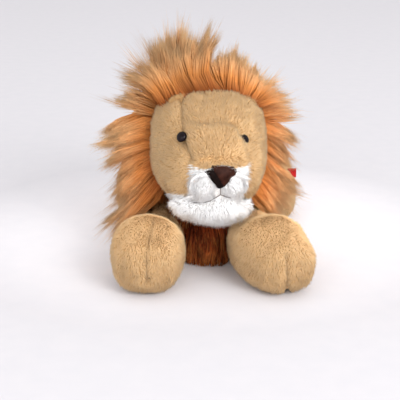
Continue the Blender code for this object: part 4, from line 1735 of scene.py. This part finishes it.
        # Painted shade in the seams' grooves and the eyes' hollows.
        groom.tone -= groove * self.seam_darkens + sockets * self.eye_darkens
        groom.cover = facing_share(mesh, least=0.3) * (1 - white) * (1 - hair_line)
        add_padded("head_cover", mesh, TAN_BACKING, "head", nodes)
        mesh.materials.append(WHITE_BACKING.material())
        paint(mesh, white)
        barber.grow("head_pile", mesh, groom, self.pile, TAN_PILE, "head")
        tip, lift = groom.tip * self.white_growth, groom.lift * self.white_growth
        groom = Groom(tip, lift, white, np.full(len(white), self.white_tone))
        barber.grow("head_white_pile", mesh, groom, self.white_pile, WHITE_PILE, "head")
        self.build_white(barber)
        self.build_nose()
        self.build_ears(barber)
        self.build_eye("eye_left", self.left_eye_shift)
        self.build_eye("eye_right", self.right_eye_shift)
        for side in Side:
            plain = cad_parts[f"eye_washer_{side.word}"].data
            plain.materials.clear()
            plain.materials.append(WASHER_PLASTIC.material())
        return mesh

    def shape_face(self, mesh: Mesh) -> tuple[Array, Array]:
        """Fills the top corners, raises the bridge of the nose, and sinks the seams and the eyes.

        Args:
            mesh: the head's cover.

        Returns:
            How deep each point lies in a seam, and in an eye's hollow.
        """
        local = head_points(mesh)
        turn = np.arctan2(local[:, 2], np.abs(local[:, 0]))
        corner = np.sin(2 * np.clip(turn, 0, None)) ** 2
        corner = corner * falling(local[:, 1], self.corner_depth, self.corner_depth)
        local[:, (0, 2)] *= (1 + self.corner_fill * corner)[:, None]
        set_head_points(mesh, local)
        front = facing_front(head_normals(mesh), gain=2.5)
        flat = local[:, (0, 2)]
        groove = np.max([bump(line_distance(flat, seam), self.seam_width) * front for seam in self.seams], 0)
        eyes = [to_head(np.array([self.eye_axis(f"eye_{side.word}")[0]]))[0] for side in Side]
        away = np.min([np.linalg.norm(local - eye, axis=1) for eye in eyes], axis=0)
        sockets = bump(away, self.eye_hollow_width)
        ridge = falling(line_distance(flat, self.bridge), self.bridge_half_width, span=0.006)
        rise = ridge * front * falling(local[:, 2], self.bridge_top, span=0.005) * self.bridge_rise
        for centre, size in self.cheeks:
            rise += bump(np.linalg.norm(flat - centre, axis=1), size) * front * self.cheek_rise
        swollen(mesh, rise - groove * self.seam_depth - sockets * self.eye_hollow)
        return groove, sockets

    def white_share(self, local: Array) -> Array:
        """Where the face is white: round the muzzle and the chin.

        Args:
            local: places in the head's own axes.

        Returns:
            One where it is white, for each place.
        """
        across, deep, up = np.abs(local[:, 0]), local[:, 1], local[:, 2]
        edge = self.white_edge
        muzzle = falling(across, self.muzzle_half_width, edge) * falling(up, self.muzzle_top, edge)
        droop = self.chin_droop * falling(local[:, 0], self.chin_droop_from, span=0.02)
        height = deep * self.chin_line_slope[0] + up * self.chin_line_slope[1] - droop
        chin = falling(across, self.chin_half_width, edge) * falling(height, self.chin_line, edge)
        return np.maximum(muzzle * (deep < self.face_front), chin * (deep < 0.0))

    def build_white(self, barber: Barber) -> None:
        """Builds the muzzle's lobes and the chin, in longer white pile, and the stitched mouth.

        Args:
            barber: grows the pile.
        """
        nodes = ["muzzle_left", "muzzle_right", "chin"]
        joined = cad_copy(nodes)
        swollen(joined, self.crease_fill)
        mesh = remeshed(joined, voxel=0.0022, passes=12)
        swollen(mesh, -self.crease_fill - self.muzzle_inset)
        local = head_points(mesh)
        wide = np.clip(-local[:, 0] / self.jowl_reach, 0, self.jowl_most)
        wide = wide * falling(local[:, 2], self.jowl_top, span=0.008)
        local += wide[:, None] * np.array(self.chin_shift)
        set_head_points(mesh, local)
        front = facing_front(head_normals(mesh), gain=3)
        near = np.min([line_distance(local[:, (0, 2)], line) for line in self.mouth], axis=0)
        crease = bump(near, self.crease_width) * front
        swollen(mesh, -crease * self.crease_depth)
        flow = turned(unit(local - np.array(self.nose_place)) + np.array((0.0, 0.0, -0.35)), HEAD_PLACE)
        low = falling(local[:, 2], self.chin_top, span=0.006)
        length = (self.muzzle_pile_length + self.chin_pile_growth * low) * (1 - self.crease_shortens * crease)
        groom = pile_groom(mesh, flow, length, seed=81, lean=0.9, swirl=0.32)
        # Painted shade along the mouth's crease.
        groom.tone = self.white_tone + (groom.tone - PILE_TONE) * 0.5 - self.crease_darkens * crease
        self.build_thread(tree_of(mesh))
        add_padded("muzzle_chin_cover", mesh, WHITE_BACKING, "head", nodes)
        strands = replace(self.white_pile, count=self.muzzle_count)
        barber.grow("muzzle_chin_pile", mesh, groom, strands, WHITE_PILE, "head")

    def build_thread(self, tree: BVHTree) -> None:
        """Lays the stitched mouth on the white pile.

        Args:
            tree: the surface that it lies on.
        """
        ahead = from_head((0.0, 1.0, 0.0))
        stitches = bpy.data.curves.new("mouth_stitches", "CURVE")
        stitches.dimensions = "3D"
        stitches.bevel_depth = self.thread_radius
        stitches.use_fill_caps = True
        for line in self.mouth:
            ends = np.array(line)
            steps = np.linspace(0, len(ends) - 1, self.thread_steps * (len(ends) - 1) + 1)
            flat = np.stack([np.interp(steps, range(len(ends)), part) for part in ends.T], axis=1)
            spline = stitches.splines.new("POLY")
            spline.points.add(len(flat) - 1)
            for point, (across, up) in zip(spline.points, flat):
                start = moved(np.array([(across, self.thread_start, up)]), HEAD_PLACE)[0]
                place = tree.ray_cast(Vector(start), Vector(ahead))[0]
                point.co = (*(place - Vector(ahead) * self.thread_rise), 1.0)
        mesh = baked_mesh(add_object("thread", stitches), "mouth_stitches")
        add_piece("mouth_stitches", mesh, ThreadFinish(), "head", ["mouth_thread"])

    def build_nose(self) -> None:
        """Builds the stuffed nose, pinched at its nostrils and darker on one facet, where the darker satin is
        painted shade.
        """
        mesh = soft_cover(["nose"], 0.0010, passes=10, inset=0.0)
        local = head_points(mesh)
        local[:, 2] = local[:, 2] * self.nose_stretch - self.nose_drop
        set_head_points(mesh, local)
        dent = np.zeros(len(local))
        for side in Side:
            middle = (side.value * self.nostril[0], self.nostril[1])
            dent += bump(np.linalg.norm(local[:, (0, 2)] - middle, axis=1), self.nostril_width)
        facet = np.clip((self.facet_line - local[:, 2] * self.facet_slope - local[:, 0]) / 0.002, 0, 1)
        swollen(mesh, -dent * self.nostril_depth - facet * self.facet_depth)
        add_padded("nose_cover", mesh, SatinFinish(), "head", ["nose"])
        # The second, darker satin on the facet is painted shade.
        mesh.materials.append(SatinFinish(name="nose_satin_shade", colour="1A0F0C", deep="0B0605").material())
        paint(mesh, facet)

    def build_ears(self, barber: Barber) -> None:
        """Builds small ears, half lost in the mane.

        Args:
            barber: grows the pile.
        """
        for side in Side:
            node = f"ear_{side.word}"
            mesh = soft_cover([node], 0.0018, passes=6, inset=self.ear_inset)
            local = head_points(mesh)
            local[:, 1] = local[:, 1] * self.ear_depth_share - self.ear_forward
            local[:, 2] = self.ear_foot + (local[:, 2] - self.ear_foot) * self.ear_height_share
            local[:, 0] -= self.ear_inward * side.value
            set_head_points(mesh, local)
            flow = from_head((side.value * 0.5, 0.0, 1.0))
            groom = pile_groom(mesh, flow, self.ear_pile_length, seed=91, lean=1.2)
            # Painted shade on the ears, which lie under the mane.
            groom.tone -= self.ear_darker
            add_padded(f"{node}_cover", mesh, TAN_BACKING, "head", [node])
            barber.grow(f"{node}_pile", mesh, groom, self.ear_pile, SHADED_EAR_PILE, "head")

    def eye_axis(self, node: str) -> tuple[Array, Array]:
        """Where an eye sits and looks.

        Args:
            node: the CAD eye.

        Returns:
            The middle of its rim, and the way that it looks.
        """
        points = points_of(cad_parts[node].data)
        centre = points.mean(axis=0)
        _, _, rows = np.linalg.svd(points - centre, full_matrices=False)
        spread = np.abs((points - centre) @ rows.T).max(axis=0)
        away = rows[int(np.argmax(spread))]
        away = away if away[1] < 0 else -away
        top = centre + away * ((points - centre) @ away).max()
        return top - away * self.eye_rim_depth, away

    def build_eye(self, node: str, shift: Place) -> None:
        """Builds a glossy dome with a fine rim, on its shank.

        Args:
            node: the eye.
            shift: how far it sits from the CAD eye, in the head's axes.
        """
        rim, away = self.eye_axis(node)
        rim = rim + from_head(shift) - away * self.eye_sink
        profile = list(self.eye_shank)
        for step in range(self.dome_steps):
            turn = math.pi / 2 * step / self.dome_steps
            height = self.dome_foot + self.dome_height * math.sin(turn)
            profile.append((self.dome_radius * math.cos(turn), height))
        profile.append((0.0, self.dome_foot + self.dome_height))
        shape = bmesh.new()
        verts = [shape.verts.new((radius, 0.0, height)) for radius, height in profile]
        edges = [shape.edges.new(pair) for pair in zip(verts, verts[1:])]
        bmesh.ops.spin(
            shape, geom=verts + edges, cent=(0, 0, 0), axis=(0, 0, 1), angle=math.tau, steps=self.dome_turns,
            use_merge=True,
        )
        bmesh.ops.remove_doubles(shape, verts=shape.verts, dist=1e-6)
        bmesh.ops.recalc_face_normals(shape, faces=shape.faces)
        mesh = in_order(mesh_from(shape, f"{node}_dome"))
        facing = Vector((0, 0, 1)).rotation_difference(Vector(away)).to_matrix().to_4x4()
        mesh.transform(Matrix.Translation(Vector(rim)) @ facing)
        add_piece(f"{node}_dome", mesh, EYE_GLOSS, "head", [node])


@dataclass(frozen=True)
class Lock:
    """One lock of the mane, in millimetres across and up from the head's centre."""

    root: Flat
    bend: Flat
    tip: Flat


def locks_of(*rows: tuple[float, ...]) -> tuple[Lock, ...]:
    """Locks from rows of six numbers: root, bend and tip."""
    return tuple(Lock(row[0:2], row[2:4], row[4:6]) for row in rows)


CROWN_LOCKS = locks_of(
    (-63, 24, -83, 31, -115, 25), (-62, 34, -80, 40, -110, 38), (-60, 41, -77, 54, -99, 53),
    (-56, 48, -66, 72, -94, 76), (-53, 54, -55, 88, -89, 104), (-46, 56, -50, 79, -65, 111),
    (-39, 57, -53, 84, -55, 110), (-31, 58, -50, 84, -44, 118), (-22, 59, -44, 86, -37, 118),
    (-13, 60, -38, 88, -24, 126), (-5, 60, -28, 88, -14, 116), (2, 60, -18, 90, 10, 127),
    (8, 60, -12, 84, -4, 106), (13, 60, -2, 78, 6, 90), (18, 59, 10, 80, 17, 98),
    (23, 58, 19, 81, 31, 108), (30, 58, 29, 76, 43, 99), (37, 56, 44, 71, 52, 92),
    (43, 54, 55, 66, 66, 78), (48, 52, 67, 59, 86, 69), (52, 47, 75, 53, 101, 55),
    (55, 43, 80, 46, 118, 35), (59, 37, 85, 36, 115, 23), (63, 31, 87, 26, 108, 13),
)
LEFT_LOCKS = locks_of(
    (66, 25, 90, 19, 109, -4), (67, 19, 91, 10, 104, -23), (70, 9, 91, -6, 105, -34),
    (71, -2, 87, -18, 101, -48), (71, -14, 90, -36, 111, -62), (71, -27, 89, -50, 116, -80),
    (70, -39, 84, -63, 110, -92), (70, -51, 80, -75, 100, -98), (68, -61, 73, -83, 87, -100),
)
RIGHT_LOCKS = locks_of(
    (-64, 13, -87, 16, -115, -7), (-64, 4, -84, 4, -112, -16), (-64, -7, -82, -10, -111, -36),
    (-64, -17, -82, -27, -97, -63), (-62, -28, -79, -42, -93, -79), (-60, -39, -75, -64, -103, -108),
    (-57, -48, -70, -74, -113, -126), (-54, -57, -63, -84, -89, -106), (-50, -64, -56, -86, -63, -101),
)


@dataclass(frozen=True)
class ManeStrip:
    """One strip of the mane round the face: its CAD node, its locks, and how much lighter its hair is."""

    node: str
    locks: tuple[Lock, ...]
    lighter: float


@dataclass
class Mane:
    """The long hair round the face and down the nape, in the head's own axes."""

    inner: float = 0.039
    fullness: float = 0.34
    middle_depth: float = 0.022
    depth_share: float = 0.75
    root_radius: float = 0.068
    spread: float = 0.14
    bend_spread: float = 0.6
    wave: float = 0.11
    ridge: float = 0.030
    tip_scatter: float = 0.007
    depth_spread: float = 0.85
    longest_at: float = 0.015
    longest_span: float = 0.027
    shortening: float = 0.22
    lift: float = 0.006
    layers: tuple[float, ...] = (-0.012, 0.004, 0.020, 0.036)
    middle_layer: float = 0.012
    layer_scatter: float = 0.004
    copies: int = 2
    bend_slide: float = 1.3
    bend_stir: float = 0.8
    tip_slide: float = 1.5
    # Painted light: how much lighter the mane is on the lion's left, where the light shines on it and through
    # it.
    left_lighter: float = 0.55
    tone_scatter: float = 0.28
    buried: float = 0.002
    brow_height: float = 0.046
    brow_line: float = -0.030
    brow_darker: float = 0.2
    brow_count: int = 3600
    nape_inset: float = 0.012
    nape_length: float = 0.046
    nape_flow: Place = (0.0, 0.25, -0.8)
    nape_front_flow: Place = (0.0, -0.55, 0.05)
    nape_count: int = 7200
    hair: Strands = field(default_factory=lambda: Strands(
        count=9400, width=0.00080, segments=3, guide_spacing=0.0035, lock_spacing=0.012,
        clump=0.70, lock_clump=0.0, length_spread=0.31, stray=0.085, tone_spread=0.5, seed=101,
    ))
    strips: tuple[ManeStrip, ...] = (
        ManeStrip("mane_crown", CROWN_LOCKS, -0.20),
        ManeStrip("mane_cheek_left", LEFT_LOCKS, -0.19),
        ManeStrip("mane_cheek_right", RIGHT_LOCKS, 0.10),
    )

    def build(self, barber: Barber, scalp: Mesh) -> None:
        """Builds every length of the mane.

        Args:
            barber: grows the hair.
            scalp: the head's cover, whose top carries the hair over the brow.
        """
        head = tree_of(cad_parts["head_skin"].data)
        for index, strip in enumerate(self.strips):
            mesh = self.backing(strip.node)
            groom = self.lock_groom(mesh, strip.locks, index + 1)
            groom.tone += strip.lighter
            strands = replace(self.hair, seed=self.hair.seed + index)
            self.sew(barber, strip.node, mesh, groom, strands, head)
        self.build_brow(barber, scalp)
        mesh = soft_cover(["mane_nape"], 0.004, passes=8, inset=self.nape_inset)
        strands = replace(self.hair, seed=self.hair.seed + 4, count=self.nape_count)
        self.sew(barber, "mane_nape", mesh, self.nape_groom(mesh), strands, head)

    def sew(
        self, barber: Barber, node: str, mesh: Mesh, groom: Groom, strands: Strands, head: BVHTree
    ) -> None:
        """Dresses one backing, and grows its hair where it isn't buried in the head.

        Args:
            barber: grows the hair.
            node: the CAD node.
            mesh: its backing.
            groom: where its strands go.
            strands: how they grow.
            head: the head's faces.
        """
        groom.cover = np.where(is_inside(points_of(mesh), head, self.buried), 0.0, groom.cover)
        barber.sew(node, mesh, groom, strands, MANE_HAIR, MANE_BACKING, "head")

    def build_brow(self, barber: Barber, scalp: Mesh) -> None:
        """Grows the first rows of the crown's hair, on the head itself.

        Args:
            barber: grows the hair.
            scalp: the head's cover.
        """
        groom = self.lock_groom(scalp, CROWN_LOCKS, 9)
        groom.tone -= self.brow_darker
        across, deep, up = head_points(scalp).T
        line = self.brow_line + 0.010 * rising(np.abs(across), 0.03, span=0.03)
        groom.cover = rising(deep, line, span=0.003) * (up > self.brow_height) * (deep < 0.0)
        strands = replace(self.hair, seed=self.hair.seed + 7, count=self.brow_count)
        barber.grow("mane_brow_hair", scalp, groom, strands, MANE_HAIR, "head")

    def backing(self, node: str) -> Mesh:
        """The woven strip that the hair is sewn to, well inside the CAD solid.

        Args:
            node: the CAD solid.

        Returns:
            The strip's mesh.
        """
        mesh = remeshed(cad_copy([node]), voxel=0.003, passes=6)
        local = head_points(mesh)
        radius = np.hypot(local[:, 0], local[:, 2])
        low = falling(local[:, 2], 0.0, span=0.05)
        reach = self.inner + (radius - self.inner) * (self.fullness + self.fullness * low)
        local[:, (0, 2)] *= (reach / np.maximum(radius, 1e-6))[:, None]
        local[:, 1] = self.middle_depth + (local[:, 1] - self.middle_depth) * self.depth_share
        set_head_points(mesh, local)
        return mesh

    def lock_groom(self, mesh: Mesh, locks: Sequence[Lock], seed: int) -> Groom:
        """Hair that gathers into locks, each with its own bend and tip.

        Args:
            mesh: the surface that it grows on.
            locks: the locks that the surface carries.
            seed: picks the small locks.

        Returns:
            The groom.
        """
        points = points_of(mesh)
        local = to_head(points)
        flat, deep = local[:, (0, 2)], local[:, 1:2]
        roots, bends, tips, depths, tip_depths = self.small_locks(locks, seed)
        around = unit(flat) * self.root_radius
        place = np.concatenate([around, deep], axis=1) + wander(points, 0.006, seed) * 0.003
        centres = np.concatenate([roots, depths[:, None]], axis=1)
        nearest = np.argmin(np.linalg.norm(place[:, None] - centres[None], axis=2), axis=1)
        offset = flat - roots[nearest]
        reach = 1 - self.shortening * np.clip(np.abs(deep - self.longest_at) / self.longest_span, 0, 1) ** 2
        tip_flat = tips[nearest] + offset * self.spread - flat
        bend_flat = bends[nearest] + offset * self.bend_spread - flat
        depth = tip_depths[nearest, None] - deep
        tip = np.concatenate([tip_flat[:, :1], depth, tip_flat[:, 1:]], axis=1) * reach
        lift = np.concatenate([bend_flat[:, :1], depth * 0.3, bend_flat[:, 1:]], axis=1) * reach
        lift = lift + head_normals(mesh) * self.lift
        tone = 0.5 + self.tone_of(len(centres), seed)[nearest]
        tone = tone + wander(points, size=0.006, seed=5)[:, 0] * 0.2
        # Painted light on the lion's left, where the light comes from.
        tone += self.left_lighter * rising(local[:, 0], 0.0, span=0.03)
        return Groom(turned(tip, HEAD_PLACE), turned(lift, HEAD_PLACE), np.ones(len(points)), tone)

    def small_locks(self, locks: Sequence[Lock], seed: int) -> tuple[Array, Array, Array, Array, Array]:
        """Splits each lock into smaller ones, in layers from front to back.

        Args:
            locks: the large locks.
            seed: picks the small ones.

        Returns:
            Roots, bends and tips across and up, and how deep each small lock's root and tip are.
        """
        chance = np.random.default_rng(seed)
        count = len(locks)
        places = np.array([(lock.root, lock.bend, lock.tip) for lock in locks]) / MM_PER_METRE
        roots, bends, tips = places.transpose(1, 0, 2)
        step = np.roll(roots, -1, axis=0) - roots
        step[-1] = step[-2]
        length = np.linalg.norm(tips - roots, axis=1, keepdims=True)
        found = []
        for layer in np.repeat(self.layers, self.copies):
            slide = chance.uniform(-0.5, 0.5, (count, 1))
            stir = chance.normal(0, 1, (2, count, 2)) * length * self.wave
            depth = np.full(count, layer) + chance.uniform(-self.layer_scatter, self.layer_scatter, count)
            tip_depth = self.ridge + (layer - self.middle_layer) * self.depth_spread
            tip_depth = tip_depth + chance.normal(0, self.tip_scatter, count)
            bend = bends + step * slide * self.bend_slide + stir[0] * self.bend_stir
            tip = tips + step * slide * self.tip_slide + stir[1]
            found.append((roots + step * slide, bend, tip, depth, tip_depth))
        return tuple(np.concatenate(part) for part in zip(*found))

    def tone_of(self, count: int, seed: int) -> Array:
        """A lighter or darker tone for each small lock."""
        return np.random.default_rng(seed + 50).uniform(-self.tone_scatter, self.tone_scatter, count)

    def nape_groom(self, mesh: Mesh) -> Groom:
        """Hair that falls down from the crown.

        Args:
            mesh: the surface that it grows on.

        Returns:
            The groom.
        """
        points = points_of(mesh)
        local, normals = to_head(points), head_normals(mesh)
        out = unit(local * np.array((1.0, 0.0, 1.0)))
        back = rising(local[:, 1:2], local[:, 1].min(), span=0.03)
        flow = out * 0.35 + np.array(self.nape_flow) + wander(points, size=0.03, seed=6) * 0.35
        flow = flow + (1 - back) * (out * 0.15 + np.array(self.nape_front_flow))
        length = uneven(points, self.nape_length, spread=0.010, size=0.03, seed=7)
        tip = turned(unit(flow + normals * 0.25) * length, HEAD_PLACE)
        lift = turned(normals * length * 0.4, HEAD_PLACE)
        tone = uneven(points, 0.5, spread=0.45, size=0.02, seed=8)[:, 0]
        return Groom(tip, lift, np.ones(len(points)), tone)


@dataclass
class Label:
    """A small plain cloth label, folded and sewn into the thigh's seam."""

    thickness: float = 0.0004
    gap: float = 0.0006
    rows: int = 6
    fold_steps: int = 6

    def build(self) -> None:
        """Builds the folded strip where the CAD label is."""
        low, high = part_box("label")
        middle, gap = (low.y + high.y) / 2, self.gap
        fold = high.x - gap * 2
        line = [(low.x, middle - gap), (fold, middle - gap)]
        for step in range(1, self.fold_steps):
            turn = -math.pi / 2 + math.pi * step / self.fold_steps
            line.append((fold + gap * 1.5 * math.cos(turn), middle + gap * math.sin(turn)))
        line += [(fold, middle + gap), (low.x, middle + gap)]
        shape = bmesh.new()
        heights = [low.z + (high.z - low.z) * row / self.rows for row in range(self.rows + 1)]
        grid = [[shape.verts.new((x, y, height)) for x, y in line] for height in heights]
        for lower, upper in zip(grid, grid[1:]):
            for index in range(len(line) - 1):
                shape.faces.new((lower[index], lower[index + 1], upper[index + 1], upper[index]))
        holder = add_object("label_holder", mesh_from(shape, "label_fold"))
        wall = holder.modifiers.new("cloth", "SOLIDIFY")
        wall.thickness = self.thickness
        wall.offset = 0
        mesh = baked_mesh(holder, "label_fold")
        piece = add_piece("label_fold", mesh, LABEL_CLOTH, "hind_leg_left", ["label"])


@dataclass(frozen=True)
class Lamp:
    """One soft square light of the studio."""

    name: str
    place: Place
    size: float
    power: float
    aim: Place = (0.0, -0.05, 0.10)

    def build(self) -> None:
        """Adds the light, facing its aim."""
        data = bpy.data.lights.new(self.name, "AREA")
        data.size = self.size
        data.energy = self.power
        light = add_object(self.name, data)
        light.location = self.place
        light.rotation_euler = (Vector(self.aim) - Vector(self.place)).to_track_quat("-Z", "Y").to_euler()


@dataclass
class Studio:
    """The pale floor, the soft light and the camera."""

    floor_radius: float = 9.0
    floor_sides: int = 64
    sky: Colour = (1.0, 0.985, 1.0)
    camera_place: Place = (-0.008, -1.2936, 0.4305)
    camera_fall: float = 17.0
    lens: float = 94.8
    sensor: float = 36.0
    clip: Flat = (0.05, 60.0)
    lamps: tuple[Lamp, ...] = (
        Lamp("key", (2.6, -4.2, 2.0), 3.0, 225.0),
        Lamp("fill", (-2.2, -4.8, 1.0), 3.4, 100.0),
        Lamp("glint", (1.0, -1.9, 1.1), 0.25, 5.0),
    )

    def build(self) -> None:
        """Builds the stage."""
        self.build_floor()
        for lamp in self.lamps:
            lamp.build()
        world = bpy.data.worlds.new("studio")
        world.use_nodes = True
        background = world.node_tree.nodes["Background"]
        background.inputs["Color"].default_value = (*self.sky, 1.0)
        background.inputs["Strength"].default_value = 1.0
        bpy.context.scene.world = world
        bpy.context.scene.view_settings.view_transform = "Standard"
        self.build_camera()

    def build_floor(self) -> None:
        """Builds a wide pale floor."""
        shape = bmesh.new()
        bmesh.ops.create_circle(shape, cap_ends=True, segments=self.floor_sides, radius=self.floor_radius)
        mesh = mesh_from(shape, "floor")
        mesh.materials.append(PaperFinish().material())
        add_object("floor", mesh)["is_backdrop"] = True

    def build_camera(self) -> None:
        """Sets up the camera at the photograph's angle."""
        data = bpy.data.cameras.new("camera")
        data.lens, data.sensor_width = self.lens, self.sensor
        data.clip_start, data.clip_end = self.clip
        camera = add_object("camera", data)
        camera.location = self.camera_place
        camera.rotation_euler = (math.radians(90 - self.camera_fall), 0.0, 0.0)
        bpy.context.scene.camera = camera


def build_limbs(barber: Barber) -> None:
    """Builds the four legs.

    Args:
        barber: grows their pile.
    """
    left_seam = ((0.083, 0.050), (0.086, 0.004))
    right_seam = ((-0.058, 0.082), (-0.065, 0.050), (-0.064, 0.022))
    Limb("foreleg_left", (0.1, -1.0, -0.2), seam=left_seam).build(barber)
    Limb("foreleg_right", (-0.1, -1.0, -0.2), seam=right_seam).build(barber)
    hind_pile = Strands(count=22000, width=0.00110, clump=0.2, lock_clump=0.1, seed=18)
    for side in Side:
        Limb(f"hind_leg_{side.word}", (side.value * 0.3, -1.0, -0.3), pile=hind_pile).build(barber)


def main() -> None:
    """Builds the lion piece by piece, and notes its size before and after."""
    for old in ("Cube", "Light", "Camera"):
        if old in bpy.data.objects:
            bpy.data.objects.remove(bpy.data.objects[old])
    Studio().build()
    barber = Barber()
    Torso().build(barber)
    build_limbs(barber)
    Tail().build(barber)
    scalp = Head().build(barber)
    Mane().build(barber, scalp)
    Label().build()
    log.info("strands: %d triangles in all", barber.triangles)
    boxes = {"cad": [list(c) for c in CAD_BOX], "visual": [list(c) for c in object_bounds()]}
    for name, (low, high) in boxes.items():
        log.info("%s box: %s to %s", name, [round(v, 4) for v in low], [round(v, 4) for v in high])


if __name__ == "__main__":
    main()
